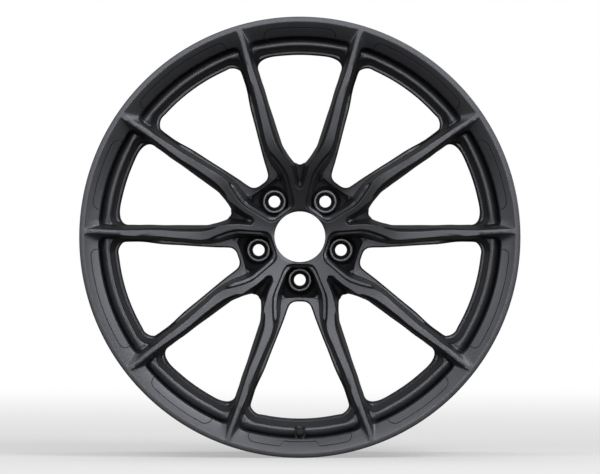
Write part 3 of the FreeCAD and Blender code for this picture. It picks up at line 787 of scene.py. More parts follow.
    def wide_side(self, patches: Patchwork) -> tuple[Array, Array, tuple[int, int]]:
        """Adds the wide window's side, its lug pocket's side and its hole's edge.

        Args:
            patches: Where the grids go.

        Returns:
            The side's grid, the hole edge's grid, and the lines of the side's grid between
            which the pocket's outer wall runs.
        """
        wide, steps, limit = self.wide_stations()
        where = steps_between(steps)
        grid = rounded(self.to_pair(self.with_inset(through(wide, where))), self.WIDE_SETBACKS)
        patches.grid(grid)
        hole = self.wide_hole()
        edge = np.stack([hole] + [hole + (0, 0, d) for d in self.size.hole_steps] + [hole], axis=1)
        edge[:, 0] = self.shrink(hole, self.size.hole_inset)
        edge[:, 3, 2] = self.back(np.hypot(hole[:, 0], hole[:, 1]))
        patches.grid(edge)
        return grid, edge, (int(np.searchsorted(where, limit)), int(np.searchsorted(where, limit + 1)))

    def web(self, patches: Patchwork, foot_line: Array, edge: Array, limits: tuple[int, int]) -> Array:
        """Adds the band beside the spoke, the web under the window and the pocket's outer wall.

        Args:
            patches: Where the surfaces go.
            foot_line: Foot of the spoke's and the pocket's side.
            edge: Grid of the hole's edge.
            limits: Points of the foot line between which the outer wall starts.

        Returns:
            Foot of the pocket's outer wall.
        """
        limit_from, limit_to = limits
        top = self.to_pair(self.lifted(self.LIMIT_TOP, self.foot))
        foot = self.to_pair(self.lifted(self.LIMIT_FOOT, np.zeros_like))
        foot[:, 2] = self.pit(foot[:, :2])
        top[0], foot[0] = foot_line[limit_from], foot_line[limit_to]
        web_low, web_high = np.hypot(*top[-1, :2]), np.hypot(*edge[-1, 0, :2])
        rim_middle = (np.hypot(*edge[0, 0, :2]) + np.hypot(*foot_line[0, :2])) / 2
        band = np.concatenate([
            foot_line[:limit_from + 1],
            top[1:],
            on_ray(self.LUG_AXIS, np.linspace(web_low, web_high, 4)[1:-1], self.foot),
            edge[::-1, 0],
            on_ray(self.LUG_AXIS, [rim_middle], self.foot),
        ])
        patches.fill(band, turned(self.foot), self.WEB_SPACING)
        share = np.linspace(0, 1, limit_to - limit_from + 1)[None, :, None]
        wall = top[:, None] * (1 - share) + foot[:, None] * share
        wall[0] = foot_line[limit_from:limit_to + 1]
        patches.grid(wall)
        return foot

    def pocket(self, patches: Patchwork, side_foot: Array, limit_foot: Array) -> Array:
        """Adds the pocket's floor round the lug seat, and the seat's counterbore.

        Args:
            patches: Where the surfaces go.
            side_foot: Foot of the pocket's side.
            limit_foot: Foot of the pocket's outer wall.

        Returns:
            Lower edge of the lug hole.
        """
        s = self.size
        turn = np.linspace(0, math.pi, self.HALF_TURN_POINTS)
        rings = [np.column_stack([-r * np.sin(turn), s.lug_circle - r * np.cos(turn), 0 * turn + z])
                 for r, z in ((s.seat_radius, s.pocket_floor), (s.lug_hole, 0.0))]
        seat, lug = (self.to_pair(ring) for ring in rings)
        high = np.linspace(s.lug_circle + s.seat_radius, np.hypot(*limit_foot[-1, :2]), 6)[1:-1]
        middle = on_ray(self.LUG_AXIS, high, lambda r: self.depth(0 * r, r))
        floor = np.concatenate([side_foot, seat, middle, limit_foot[:0:-1]])
        patches.fill(floor, self.pit, self.POCKET_SPACING)
        seat_low, lug_top = seat.copy(), lug.copy()
        seat_low[:, 2] = lug_top[:, 2] = s.seat_foot
        patches.grid(np.stack([seat, seat_low, lug_top, lug], axis=1))
        return lug

    def hub_top(self, patches: Patchwork, top_a: Array, top_b: Array) -> tuple[Array, Array]:
        """Adds the hub's star and the tops of the spokes.

        Args:
            patches: Where the surface goes.
            top_a: Top edge of the spoke's narrow side, rim to hub.
            top_b: Top edge of its wide side.

        Returns:
            Polar angles of the spoke's tip, and the upper edge of the bore.
        """
        s = self.size
        ends = [math.atan2(top[0, 1], top[0, 0]) for top in (top_b, top_a)]
        tip = np.linspace(*ends, self.TIP_POINTS)
        tip_arc = on_arc(s.ring_radius, tip, self.crown(0 * tip + s.ring_radius))
        bore = np.linspace(*self.SPAN, self.BORE_POINTS)
        bore_arc = on_arc(s.bore, bore, self.crown(0 * bore + s.bore))
        star = np.concatenate([
            top_a,
            on_ray(self.PAIR_AXIS, np.linspace(np.hypot(*top_a[-1, :2]), s.bore, 12)[1:-1], self.crown),
            bore_arc,
            on_ray(self.LUG_AXIS, np.linspace(s.bore, np.hypot(*top_b[-1, :2]), 4)[1:-1], self.crown),
            top_b[::-1],
            tip_arc[1:-1],
        ])
        patches.fill(star, turned(self.crown), self.TOP_SPACING, rings=self.HUB_RINGS, ring_span=self.SPAN)
        return tip, bore_arc

    def bore_wall(self, patches: Patchwork, bore_arc: Array) -> Array:
        """Adds the wall of the hub bore with its rear chamfer.

        Args:
            patches: Where the grid goes.
            bore_arc: Upper edge of the bore.

        Returns:
            The chamfer's outer edge on the back.
        """
        s = self.size
        turn = np.linspace(*self.SPAN, len(bore_arc))
        rows = [bore_arc]
        rows += [np.column_stack([bore_arc[:, :2], 0 * turn + z]) for z in s.bore_heights]
        rows.append(on_arc(s.bore + s.bore_chamfer, turn, 0.0))
        patches.grid(np.stack(rows, axis=1))
        return rows[-1]

    def back_side(self, patches: Patchwork, rim_angles: Array, hole_back: Array, edge_back: Array,
                  lug: Array, bore_end: Array) -> None:
        """Adds the back of the hub, spokes and web.

        Args:
            patches: Where the surface goes.
            rim_angles: Polar angles of the points on the outer joint circle.
            hole_back: Narrow hole's edge on the back.
            edge_back: Wide hole's edge on the back.
            lug: Lug hole's edge on the back.
            bore_end: Bore chamfer's edge on the back.
        """
        s = self.size
        chamfer = s.bore + s.bore_chamfer
        well, well_height = s.back[-1]
        rim_side = np.array([s.back[-2][0]])
        steps = list(self.BACK_RINGS)
        pair_in = np.concatenate([np.linspace(chamfer, 70.0, 8), steps,
                                  np.linspace(82.0, np.hypot(*hole_back[-1, :2]), 3)])[:-1]
        lug_out = np.array([66.0] + steps)[::-1]
        lug_in = np.linspace(s.lug_circle - s.lug_hole, chamfer, 4)[1:-1]
        loop = np.concatenate([
            on_ray(self.PAIR_AXIS, pair_in, self.back),
            hole_back[::-1],
            on_ray(self.PAIR_AXIS, rim_side, self.back),
            on_arc(well, rim_angles, well_height),
            on_ray(self.LUG_AXIS, rim_side, self.back),
            edge_back,
            on_ray(self.LUG_AXIS, lug_out, self.back),
            lug[::-1],
            on_ray(self.LUG_AXIS, lug_in, self.back),
            bore_end[::-1],
        ])
        patches.fill(loop, turned(self.back), self.BACK_SPACING, rings=self.BACK_RINGS, ring_span=self.SPAN)

    def depth(self, across: Array, along: Array) -> Array:
        """Pocket floor height: level at the seat, falling away from it, deepest outward.

        Args:
            across: Distance from the lug axis, mm.
            along: Distance from the wheel axis measured along the lug axis, mm.

        Returns:
            Heights in mm.
        """
        s = self.size
        away = np.maximum(np.hypot(across, along - s.lug_circle) - s.boss_radius, 0.0)
        drop = np.minimum(away * s.boss_slope, away * s.pit_slope + s.pit_start)
        outward = np.clip((along - s.pit_from) / s.pit_reach, 0.0, 1.0)
        deepest = (s.pocket_floor - s.pit_floor) * (0.5 + 0.5 * outward)
        return s.pocket_floor - np.minimum(drop, deepest)

    def pit(self, xy: Array) -> Array:
        """Pocket floor height by plan position in the spoke pair's frame."""
        c, q = math.cos(HALF_SECTOR), math.sin(HALF_SECTOR)
        return self.depth(xy[:, 0] * c + xy[:, 1] * q, -xy[:, 0] * q + xy[:, 1] * c)

    def split_on_ring(self, line: Array) -> tuple[Array, Array]:
        """Splits a line at its last point on the outer joint circle, which both parts keep.

        Args:
            line: Array (n, 3) that starts on the circle.

        Returns:
            The part on the circle and the rest, which share a point.
        """
        on = np.abs(np.hypot(line[:, 0], line[:, 1]) - self.size.ring_radius) < 1e-6
        last = int(np.nonzero(on)[0][-1])
        return line[:last + 1], line[last:]

    def lifted(self, plan: Sequence[tuple[float, float]], height: Callable[[Array], Array]) -> Array:
        """Smooth plan curve with heights from a radius function.

        Args:
            plan: Control points in plan.
            height: Height by distance from the axis.

        Returns:
            Array (n, 3).
        """
        where = np.linspace(0, len(plan) - 1, self.LIMIT_STEPS + 1)
        points = through(np.array(plan, float), where)
        return np.column_stack([points, height(np.hypot(points[:, 0], points[:, 1]))])

    def wide_hole(self) -> Array:
        """Left half of the wide window's hole edge in the pair's frame, rim to hub.

        Returns:
            Array (n, 3), rim to hub.
        """
        plan = [polar(self.size.rim_radii[-1], a) for a in (0.0, 1.0, 5.9, 11.8)]
        plan += [c[7] for c in self.WIDE_CORNER]
        plan += [w[2] for w in self.WIDE_SPOKE]
        plan += list(self.WIDE_HOLE_END)
        counts = [1, 5, 6, 4] + [3] * len(self.WIDE_CORNER) + [4] * len(self.WIDE_SPOKE)
        counts += [3] * (len(plan) - 1 - len(counts))
        points = through(np.array(plan, float), steps_between(counts))
        z = self.foot(np.hypot(points[:, 0], points[:, 1])) - 0.2
        return self.to_pair(np.column_stack([points, z]))

    def shrink(self, line: Array, distance: float) -> Array:
        """Moves a hole edge away from the hole, onto the ledge, for its rounded rim.

        Args:
            line: Array (n, 3), the hole's edge.
            distance: How far it moves, mm.

        Returns:
            The moved line, 0.2 mm higher.
        """
        side = np.gradient(line[:, :2], axis=0)
        side /= np.linalg.norm(side, axis=1, keepdims=True) + 1e-9
        normal = np.column_stack([-side[:, 1], side[:, 0]])
        centre = line[:, :2].mean(axis=0)
        sign = np.sign(((line[:, :2] - centre) * normal).sum(axis=1).mean())
        moved = line.copy()
        moved[:, :2] += normal * sign * distance
        lug = np.array(self.LUG_AXIS)
        for end in (0, -1):
            moved[end, :2] = lug * (moved[end, :2] @ lug)
        moved[:, 2] += 0.2
        return moved

    def rim_profile(self) -> Array:
        """Flange, bead seat, drop centre and weld face from the joint circle inward.

        Returns:
            Array (n, 2) of radius and height.
        """
        s = self.size
        crown = float(self.crown(s.ring_radius))
        return rounded_profile([
            (s.ring_radius, crown, 0), (273.3, 82.2, 0.5), (273.9, 81.3, 0.6), (273.9, 75.0, 2.4),
            (268.0, 72.6, 3.0), (263.2, 69.4, 3.4), (260.6, 64.6, 3.0), (256.4, 62.6, 1.2),
            (255.3, 49.5, 0.8), (255.9, 48.0, 0.6), (255.2, 46.2, 0.8), (253.0, 44.5, 1.0),
            (243.5, 42.5, 2.5), (238.5, 37.5, 2.5), (238.5, 15.0, 0.0), (234.5, 12.0, 0.0),
            (232.5, 12.0, 0.0), (s.back[-1][0], s.back[-1][1], 0)], bits=3)

    def build(self) -> bpy.types.Object:
        """Builds the whole face and returns its object.

        Returns:
            The linked object.
        """
        half, angles = self.half_sector()
        whole = half.mirrored_and_turned()
        every = []
        for index in range(PAIRS):
            turn = 2 * math.pi * index / PAIRS
            every += [angles + turn, math.pi - angles + turn]
        full = np.unique(np.round(np.mod(np.concatenate(every), 2 * math.pi), 6))
        if 2 * math.pi - full[-1] + full[0] < 1e-5:
            full = full[:-1]
        whole.verts = [self.valve_recess(v) for v in whole.verts]
        whole.grid(revolve(self.rim_profile(), full), closed=True)
        return whole.build("forged_face_surface")

    def valve_recess(self, verts: Array) -> Array:
        """Sinks a channel across the rim's roll and a round facing round the valve.

        Args:
            verts: Array (n, 3) of the front surface's points.

        Returns:
            The points, moved where the valve needs room.
        """
        s, valve = self.size, VALVE_PLACE
        out = verts.copy()
        x, reach, z = out[:, 0], -out[:, 1], out[:, 2]
        near = (np.abs(x) < s.recess_half) & (z > s.recess_low)
        end = np.minimum(reach - s.recess_centre, 0.0)
        inner = near & (x**2 + end**2 < s.recess_half**2) & (reach < s.recess_reach)
        dish = s.recess_floor + s.recess_rise * (x / s.recess_half) ** 2
        floor = np.where(reach < valve.seat_radius - valve.facing_radius, dish, valve.seat_height)
        out[:, 2] = np.where(inner & (z > floor), floor, z)
        axis = valve.seat_radius - (z - valve.seat_height) * math.tan(valve.lean)
        edge = axis + np.sqrt(np.maximum(valve.facing_radius**2 - x**2, 0.0))
        wall = near & (reach >= s.recess_reach) & (reach < s.recess_wall)
        out[:, 1] = np.where(wall & (reach < edge), -edge, out[:, 1])
        out[:, 2] = np.where(wall & (z < valve.seat_height), valve.seat_height, out[:, 2])
        return out


# --------------------------------------------------------------------------- shader maths


class Socket:
    """A shader value that takes part in ordinary arithmetic."""

    def __init__(self, shader: "Shader", out: bpy.types.NodeSocket) -> None:
        """Holds an output socket and the tree it is in."""
        self.shader = shader
        self.out = out

    def _with(self, other: "Socket | float", operation: str) -> "Socket":
        """Combines two values with one operation."""
        return self.shader.maths(operation, self, other)

    def __add__(self, other: "Socket | float") -> "Socket":
        """Sum."""
        return self._with(other, "ADD")

    def __sub__(self, other: "Socket | float") -> "Socket":
        """Difference."""
        return self._with(other, "SUBTRACT")

    def __mul__(self, other: "Socket | float") -> "Socket":
        """Product."""
        return self._with(other, "MULTIPLY")

    def __truediv__(self, other: "Socket | float") -> "Socket":
        """Quotient."""
        return self._with(other, "DIVIDE")

    def __rsub__(self, other: float) -> "Socket":
        """Constant less the value."""
        return self.shader.maths("SUBTRACT", other, self)

    __radd__ = __add__
    __rmul__ = __mul__

    def least(self, other: "Socket | float") -> "Socket":
        """Smaller of the two values."""
        return self._with(other, "MINIMUM")

    def most(self, other: "Socket | float") -> "Socket":
        """Larger of the two values."""
        return self._with(other, "MAXIMUM")

    def size(self) -> "Socket":
        """Value without its sign."""
        return self.shader.maths("ABSOLUTE", self)

    def ramp(self, low: float, high: float) -> "Socket":
        """Smooth rise from 0 at low to 1 at high.

        Args:
            low: Value where the rise starts.
            high: Value where it ends.

        Returns:
            The ramped value.
        """
        node = self.shader.node("ShaderNodeMapRange", {"Value": self, "From Min": low, "From Max": high},
                                interpolation_type="SMOOTHSTEP")
        return Socket(self.shader, node.outputs["Result"])


class Shader:
    """Builds one node tree."""

    def __init__(self, tree: bpy.types.NodeTree) -> None:
        """Empties the tree."""
        self.tree = tree
        tree.nodes.clear()

    def node(self, kind: str, inputs: Optional[dict] = None, **settings: object) -> bpy.types.Node:
        """Makes any node.

        Args:
            kind: Node type name.
            inputs: Socket name or index to a Socket or a constant.
            settings: Properties of the node.

        Returns:
            The new node.
        """
        made = self.tree.nodes.new(kind)
        for key, value in settings.items():
            setattr(made, key, value)
        for key, value in (inputs or {}).items():
            if isinstance(value, Socket):
                self.tree.links.new(value.out, made.inputs[key])
            elif value is not None:
                made.inputs[key].default_value = value
        return made

    def maths(self, operation: str, a: "Socket | float", b: "Socket | float | None" = None) -> Socket:
        """One step of arithmetic."""
        made = self.node("ShaderNodeMath", {0: a, 1: b}, operation=operation)
        return Socket(self, made.outputs[0])

    def place(self) -> tuple[Socket, Socket, Socket]:
        """Object coordinates as three sockets, in metres.

        Returns:
            The three coordinates.
        """
        coords = self.node("ShaderNodeTexCoord")
        split = self.node("ShaderNodeSeparateXYZ", {0: Socket(self, coords.outputs["Object"])})
        return tuple(Socket(self, o) for o in split.outputs)

    def noise(self, scale: float, detail: float = 2.0, rough: float = 0.5) -> Socket:
        """Fractal noise over object coordinates, about 0.5 on average.

        Args:
            scale: Number of cells in a metre.
            detail: Number of finer layers.
            rough: Weight of the finer layers.

        Returns:
            The noise value.
        """
        coords = self.node("ShaderNodeTexCoord")
        made = self.node("ShaderNodeTexNoise", {"Vector": Socket(self, coords.outputs["Object"]),
                                                "Scale": scale, "Detail": detail, "Roughness": rough})
        return Socket(self, made.outputs["Fac"])

    def mix_colour(self, factor: Socket, a: "Socket | Sequence[float]", b: Sequence[float]) -> Socket:
        """Blend from colour a to colour b.

        Args:
            factor: Share of colour b.
            a: First colour, fixed or computed.
            b: Second colour.

        Returns:
            The mixed colour.
        """
        first = a if isinstance(a, Socket) else (*a, 1.0)
        made = self.node("ShaderNodeMix", {0: factor, 6: first, 7: (*b, 1.0)}, data_type="RGBA")
        return Socket(self, made.outputs[2])

    def surface(self, kind: str, colour: float, strength: Optional[float] = None) -> Socket:
        """Makes a plain grey shader.

        Args:
            kind: Node type name.
            colour: Grey level.
            strength: Strength, for nodes that give light.

        Returns:
            The shader's output.
        """
        inputs: dict = {"Color": (colour, colour, colour, 1.0)}
        if strength is not None:
            inputs["Strength"] = strength
        return Socket(self, self.node(kind, inputs).outputs[0])

    def blend(self, factor: Socket, a: Socket, b: Socket) -> Socket:
        """Blend from shader a to shader b."""
        return Socket(self, self.node("ShaderNodeMixShader", {0: factor, 1: a, 2: b}).outputs[0])

    def seen(self, other: Socket, camera: Socket) -> Socket:
        """One shader for the camera and another one for all else."""
        path = self.node("ShaderNodeLightPath")
        return self.blend(Socket(self, path.outputs["Is Camera Ray"]), other, camera)

    def output(self, kind: str, surface: Socket) -> None:
        """Ends the tree."""
        out = self.node(kind)
        self.tree.links.new(surface.out, out.inputs[0])


# --------------------------------------------------------------------------- finishes


class Grain(Enum):
    """Kind of fine relief a finish carries."""

    NONE = "none"
    POWDER = "powder"
    MOULDED = "moulded"


@dataclass(frozen=True)
class Finish:
    """A surface finish.

    Attributes:
        name: Material name.
        colour: Linear base colour.
        metallic: Metal share.
        roughness: Middle roughness.
        spread: Roughness swing of the mottle.
        mottle: Brightness swing of the mottle.
        grain: Kind of fine relief.
        depth: Height of the relief in metres.
        panel_lines: Adds the engraved lines of the lip, as a shallow bump groove plus painted shade
            darkening the colour in the line.
    """

    name: str
    colour: tuple[float, float, float]
    metallic: float = 0.0
    roughness: float = 0.5
    spread: float = 0.05
    mottle: float = 0.08
    grain: Grain = Grain.NONE
    depth: float = 0.0
    panel_lines: bool = False

    def relief(self, shader: Shader) -> Optional[Socket]:
        """Fine relief as a height socket in metres.

        Args:
            shader: Tree that takes the nodes.

        Returns:
            Height, or none for a smooth finish.
        """
        if self.grain is Grain.POWDER:
            return shader.noise(*POWDER_NOISE) * self.depth
        if self.grain is Grain.MOULDED:
            return shader.noise(*MOULDED_NOISE) * self.depth
        return None

    def engraved(self, shader: Shader) -> Socket:
        """Mask of the engraved panel lines on the lip, 1 in the line; it carries both the groove's bump and
        its painted shade.

        Each line is an arch over one window: a circle arc at a fixed radius whose two
        legs bend down to the lip's inner edge. The lowest one has a sunken middle.

        Args:
            shader: Tree that takes the nodes.

        Returns:
            The mask's value.
        """
        x, y, z = shader.place()
        radius = shader.maths("SQRT", x * x + z * z)
        angle = shader.maths("ARCTAN2", x, z)
        mask: Optional[Socket] = None
        for start, half, corner in PANELS:
            turn = (angle + (start + 4 * math.pi)) / (2 * HALF_SECTOR)
            local = (turn - shader.maths("ROUND", turn)) * (2 * HALF_SECTOR)
            across = local.size() * PANEL_RADIUS
            top: "Socket | float" = PANEL_RADIUS
            if start:
                middle = 1.0 - across.ramp(*NOTCH_HALF)
                below = (0.0 - z).ramp(*NOTCH_BELOW) * (1.0 - x.size().ramp(*NOTCH_BESIDE))
                top = PANEL_RADIUS - middle * below * NOTCH_DEPTH
            qx = across - (half * PANEL_RADIUS - corner)
            qy = radius - (top - corner) if isinstance(top, float) else (radius - top) + corner
            inner = qx.most(qy).least(0.0)
            px, py = qx.most(0.0), qy.most(0.0)
            distance = (shader.maths("SQRT", px * px + py * py) + inner - corner).size()
            line = 1.0 - distance.ramp(PANEL_WIDTH * 0.35, PANEL_WIDTH)
            mask = line if mask is None else mask.most(line)
        return mask * (0.0 - y).ramp(*PANEL_FRONT) * radius.ramp(*PANEL_INNER)

    def build(self) -> bpy.types.Material:
        """Makes the material.

        Returns:
            The new material.
        """
        material = bpy.data.materials.new(self.name)
        material.use_nodes = True
        shader = Shader(material.node_tree)
        cloud = shader.noise(*CLOUD_NOISE)
        dark = tuple(c * (1 - self.mottle) for c in self.colour)
        light = tuple(c * (1 + self.mottle) for c in self.colour)
        colour = shader.mix_colour(cloud.ramp(*CLOUD_BAND), dark, light)
        height = self.relief(shader)
        if self.panel_lines:
            line = self.engraved(shader)
            # Painted shade: the colour inside the engraved lines is darkened to stand for the shadow in the
            # groove.
            colour = shader.mix_colour(line, colour, tuple(c * PANEL_PAINTED_SHADE for c in self.colour))
            groove = line * -PANEL_DEPTH
            height = groove if height is None else height + groove
        surface = shader.node("ShaderNodeBsdfPrincipled", {
            "Base Color": colour,
            "Roughness": (cloud - 0.5) * (2 * self.spread) + self.roughness,
            "Metallic": self.metallic,
        })
        if height is not None:
            bump = shader.node("ShaderNodeBump", {"Height": height, "Distance": 1.0, "Strength": 1.0})
            shader.tree.links.new(bump.outputs[0], surface.inputs["Normal"])
        shader.output("ShaderNodeOutputMaterial", Socket(shader, surface.outputs[0]))
        return material


# Noise as scale, detail and roughness.
CLOUD_NOISE = (38.0, 4.0, 0.6)
POWDER_NOISE = (1500.0, 3.0, 0.55)
MOULDED_NOISE = (4000.0, 2.0, 0.5)
CLOUD_BAND = (0.3, 0.7)

# Engraved lines in metres: arc radius, then turn, half angle and corner radius of each kind.
PANEL_RADIUS = 0.2603
PANELS = ((0.0, math.radians(10.2), 0.010), (HALF_SECTOR, math.radians(14.6), 0.0075))
PANEL_WIDTH = 0.00075
PANEL_DEPTH = 0.0001
# Colour factor of the painted shade inside the engraved lines, standing for the groove's shadow.
PANEL_PAINTED_SHADE = 0.2
PANEL_FRONT = (0.070, 0.072)
PANEL_INNER = (0.2502, 0.2512)
NOTCH_HALF = (0.0196, 0.0256)
NOTCH_DEPTH = 0.0066
NOTCH_BELOW = (0.200, 0.201)
NOTCH_BESIDE = (0.089, 0.090)

SATIN = Finish("satin_graphite", (0.098, 0.100, 0.110), metallic=0.9, roughness=0.40, spread=0.02,
               mottle=0.03, grain=Grain.POWDER, depth=0.000001, panel_lines=True)
BARREL = Finish("barrel_coat", (0.088, 0.090, 0.099), metallic=0.9, roughness=0.45, spread=0.03,
                grain=Grain.POWDER, depth=0.000001)
WELD = Finish("weld_metal", (0.088, 0.090, 0.099), metallic=0.9, roughness=0.5,
              grain=Grain.POWDER, depth=0.000001)
SEAT = Finish("seat_steel", (0.108, 0.110, 0.119), metallic=0.9, roughness=0.36)
VALVE = Finish("valve_metal", (0.03, 0.03, 0.032), metallic=0.8, roughness=0.45)
CAP = Finish("cap_plastic", (0.004, 0.004, 0.0045), roughness=0.7, grain=Grain.MOULDED, depth=0.00001)
RUBBER = Finish("seal_rubber", (0.02, 0.02, 0.02), roughness=0.7)
BRASS = Finish("core_brass", (0.75, 0.55, 0.25), metallic=1.0, roughness=0.3)
STEEL = Finish("spring_steel", (0.6, 0.6, 0.62), metallic=1.0, roughness=0.3)


def dress(obj: bpy.types.Object, material: bpy.types.Material) -> None:
    """Gives an object one material."""
    obj.data.materials.clear()
    obj.data.materials.append(material)


# --------------------------------------------------------------------------- barrel and lug seats


@dataclass(frozen=True)
class BarrelSize:
    """Sizes of the rear half of the rim in mm, heights from the hub face."""

    rear: float = -172.3
    well: float = 238.5
    wall: float = 6.0
    weld: float = 12.0
    turns: int = 300


class Barrel:
    """Rear half of the rim: drop centre, rear bead seat and flange."""

    def __init__(self, size: BarrelSize) -> None:
        """Keeps the sizes."""
        self.size = size

    def profile(self) -> Array:
        """Closed section in (radius, height).

        Returns:
            Array (n, 2), ending where it starts.
        """
        s = self.size
        bore, rear = s.well - s.wall, s.rear
        return rounded_profile([
            (bore, s.weld, 0), (bore + 2, s.weld, 0), (s.well, s.weld - 3, 0), (s.well, -31, 4),
            (249.8, -63, 5), (251, -67, 3), (251, -124, 4), (254.8, -136, 1.5), (256.1, -138.4, 0.8),
            (255.4, -140.4, 0.8), (256.4, rear + 19.5, 1.2), (260.6, rear + 17.4, 3),
            (263.2, rear + 12.9, 3.4),
            (268, rear + 9.7, 3), (273.9, rear + 7.2, 2.4), (273.9, rear + 2.4, 2.2), (271.6, rear, 0.9),
            (261, rear, 3), (252.5, rear + 7, 5), (249.8, -150, 5), (249.2, -136, 3), (245.5, -122, 5),
            (245.5, -67, 4), (234, -34, 5), (bore, -29, 3), (bore, s.weld, 0)], bits=4)

    def build(self) -> bpy.types.Object:
        """Builds the barrel as a closed surface of revolution.

        Returns:
            The linked object.
        """
        patches = Patchwork()
        angles = np.arange(self.size.turns) * 2 * math.pi / self.size.turns
        patches.grid(revolve(self.profile(), angles), closed=True)
        return patches.build("inner_barrel_surface")


@dataclass(frozen=True)
class SeatSize:
    """Sizes of a conical lug seat in mm."""

    circle: float = 54.0
    hole: float = 7.25
    outer: float = 14.6
    mouth: float = 11.5
    foot: float = 6.0
    top: float = 16.0


class LugSeat:
    """One conical seat ring."""

    def __init__(self, size: SeatSize) -> None:
        """Keeps the sizes."""
        self.size = size

    def build(self, index: int) -> bpy.types.Object:
        """Builds the seat of one lug hole.

        Args:
            index: 0 for the lowest hole, then turning counter-clockwise seen from the front.

        Returns:
            The seat's object.
        """
        s = self.size
        throat = s.top - (s.mouth - s.hole) / math.tan(math.radians(30))
        profile = rounded_profile([
            (s.hole, s.foot, 0), (s.outer, s.foot, 0), (s.outer, s.top, 0.9), (s.mouth, s.top, 0.6),
            (s.hole, throat, 0.8), (s.hole, s.foot, 0)], bits=4)
        grid = revolve(profile, np.arange(72) * 2 * math.pi / 72)
        angle = math.radians(270 + 72 * index)
        grid = grid + np.array([s.circle * math.cos(angle), s.circle * math.sin(angle), 0.0])
        patches = Patchwork()
        patches.grid(grid, closed=True)
        return patches.build(f"lug_seat_{index + 1}_surface")


@dataclass(frozen=True)
class CapSize:
    """Sizes of the valve cap in mm, heights along the valve's axis."""

    foot: float = 17.0
    top: float = 28.0
    ceiling: float = 26.82
    outer: float = 5.12
    bore: float = 4.0
    flutes: int = 18
    flute_depth: float = 0.3


class ValveCap:
    """Domed valve cap with grip flutes."""

    def __init__(self, size: CapSize) -> None:
        """Keeps the sizes."""
        self.size = size

    def build(self) -> bpy.types.Object:
        """Builds the cap: a turned section whose side wall waves with the cosine of the flutes.

        Returns:
            The linked object.
        """
        s = self.size
        profile = rounded_profile([
            (0.0, s.ceiling, 0), (s.bore, s.ceiling, 0), (s.bore, s.foot, 0), (s.outer, s.foot, 0.3),
            (s.outer, s.foot + 1.2, 0), (s.outer, s.foot + 2.0, 0), (s.outer, s.top - 4.4, 0),
            (s.outer, s.top - 3.4, 0), (s.outer, s.top - 1.0, 1.6),
            (s.outer * 0.55, s.top, 1.2), (0.0, s.top, 0)], bits=5)
        angles = np.arange(s.flutes * 8) * 2 * math.pi / (s.flutes * 8)
        grid = revolve(profile, angles)
        low, high = s.foot + 1.5, s.top - 3.5
        grip = (profile[:, 1] > low) & (profile[:, 1] < high) & (profile[:, 0] > s.bore + 0.2)
        wave = 1.0 - s.flute_depth / s.outer * (0.5 - 0.5 * np.cos(s.flutes * angles))
        grid[:, grip, :2] *= wave[:, None, None]
        patches = Patchwork()
        patches.grid(VALVE_PLACE.put(grid), closed=True)
        return patches.build("valve_cap_surface", weld=0.002)


# --------------------------------------------------------------------------- studio


@dataclass(frozen=True)
class Softbox:
    """Rectangular light: name, place and size in metres, power in watts."""

    name: str
    at: tuple[float, float, float]
    width: float
    height: float
    power: float


SOFTBOXES = (
    Softbox("key_right", (2.2, -2.6, 3.2), 2.4, 2.0, 75.0),
    Softbox("key_left", (-2.2, -2.6, 3.2), 2.4, 2.0, 28.0),
    Softbox("front_fill", (0.0, -4.6, 1.9), 3.0, 1.6, 42.0),
    Softbox("side_right", (3.4, -2.9, 0.7), 2.0, 1.6, 42.0),
    Softbox("side_left", (-3.4, -2.9, 0.7), 2.0, 1.6, 25.0),
    Softbox("low_front", (0.0, -5.0, 0.35), 2.0, 1.0, 31.0),
    Softbox("overhead", (0.0, 0.95, 3.2), 3.5, 1.5, 30.0),
)


@dataclass(frozen=True)
class StudioSize:
    """Camera, floor and backdrop, lengths in metres."""

    distance: float = 12.0
    elevation: float = 0.6
    half_width: float = 0.3723
    face_depth: float = 0.0823
    side_shift: float = 0.0002
    lift: float = 0.0004
    sensor: float = 36.0
    clip_end: float = 200.0
    floor: float = -0.2740
    floor_half: float = 40.0
    floor_pale: float = 0.85
    floor_dull: float = 0.08
    fade: tuple[float, float] = (0.3, 3.4)
    fade_start: float = 0.42
    ambient: float = 0.14


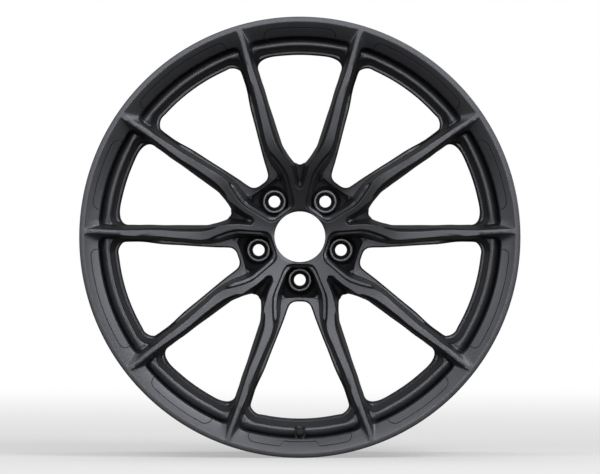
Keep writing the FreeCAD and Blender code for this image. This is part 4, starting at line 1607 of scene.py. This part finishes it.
class Studio:
    """Plain soft studio: white backdrop, pale floor, softboxes in front, beside and above."""

    def __init__(self, size: StudioSize) -> None:
        """Keeps the sizes."""
        self.size = size

    def camera(self) -> None:
        """Long lens, almost level with the wheel's axis."""
        s = self.size
        data = bpy.data.cameras.new("camera")
        cam = bpy.data.objects.new("camera", data)
        bpy.context.collection.objects.link(cam)
        a = math.radians(s.elevation)
        target = Vector((s.side_shift, -s.face_depth, s.lift))
        cam.location = target + Vector((0.0, -s.distance * math.cos(a), s.distance * math.sin(a)))
        cam.rotation_euler = (target - cam.location).to_track_quat("-Z", "Y").to_euler()
        data.sensor_width = s.sensor
        data.lens = s.sensor / 2 * s.distance / s.half_width
        data.clip_end = s.clip_end
        bpy.context.scene.camera = cam

    def light(self, box: Softbox) -> None:
        """Makes a softbox aimed at the wheel.

        Args:
            box: The softbox to make.
        """
        data = bpy.data.lights.new(box.name, "AREA")
        data.shape = "RECTANGLE"
        data.size, data.size_y, data.energy = box.width, box.height, box.power
        lamp = bpy.data.objects.new(box.name, data)
        bpy.context.collection.objects.link(lamp)
        lamp.location = box.at
        lamp.rotation_euler = (-Vector(box.at)).to_track_quat("-Z", "Y").to_euler()

    def world(self) -> None:
        """White behind for the camera, dim grey for everything else."""
        world = bpy.data.worlds.new("studio")
        bpy.context.scene.world = world
        world.use_nodes = True
        shader = Shader(world.node_tree)
        dim, white = (shader.surface("ShaderNodeBackground", 1.0, strength)
                      for strength in (self.size.ambient, 1.0))
        shader.output("ShaderNodeOutputWorld", shader.seen(dim, white))

    def ground(self) -> None:
        """Floor that fades into the white backdrop behind the wheel."""
        s = self.size
        w = s.floor_half
        mesh = bpy.data.meshes.new("floor")
        corners = [(x, y, s.floor) for x, y in ((-w, -w), (w, -w), (w, w), (-w, w))]
        mesh.from_pydata(corners, [], [(0, 1, 2, 3)])
        floor = bpy.data.objects.new("floor", mesh)
        bpy.context.collection.objects.link(floor)
        material = bpy.data.materials.new("floor")
        material.use_nodes = True
        shader = Shader(material.node_tree)
        _, y, _ = shader.place()
        far = y.ramp(*s.fade) * (1.0 - s.fade_start) + s.fade_start
        pale = shader.surface("ShaderNodeBsdfDiffuse", s.floor_pale)
        dull = shader.surface("ShaderNodeBsdfDiffuse", s.floor_dull)
        glow = shader.surface("ShaderNodeEmission", 1.0, 1.0)
        shader.output("ShaderNodeOutputMaterial", shader.seen(dull, shader.blend(far, pale, glow)))
        dress(floor, material)

    def build(self) -> None:
        """Sets up camera, lights, world and floor."""
        self.camera()
        for box in SOFTBOXES:
            self.light(box)
        self.world()
        self.ground()
        bpy.context.scene.view_settings.view_transform = "Standard"


# --------------------------------------------------------------------------- build order


def main() -> None:
    """Builds the looks round the frame."""
    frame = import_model()
    finishes = (SATIN, BARREL, WELD, SEAT, VALVE, CAP, RUBBER, BRASS, STEEL)
    materials = {finish.name: finish.build() for finish in finishes}
    slots = {part["node"]: part["material_slot"] for part in frame["record"]["subparts"]}

    def take_over(obj: bpy.types.Object, node: str, body: str = "rim") -> None:
        """Lets a new surface stand for a node of the frame.

        Args:
            obj: The new surface.
            node: Name of the frame's node.
            body: Body that carries it.
        """
        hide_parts(node)
        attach(obj, body)
        dress(obj, materials[slots[node]])
        log.info("%s stands for %s", obj.name, node)

    take_over(ForgedFace(FaceSize()).build(), "forged_face")
    take_over(Barrel(BarrelSize()).build(), "inner_barrel")
    for index in range(PAIRS):
        take_over(LugSeat(SeatSize()).build(index), f"lug_seat_{index + 1}")
    take_over(ValveCap(CapSize()).build(), "valve_cap", "cap")
    for name, node in frame["nodes"].items():
        dress(node, materials[slots[name]])
    Studio(StudioSize()).build()


if __name__ == "__main__":
    logging.basicConfig(level=logging.INFO, format="%(name)s: %(message)s")
    main()
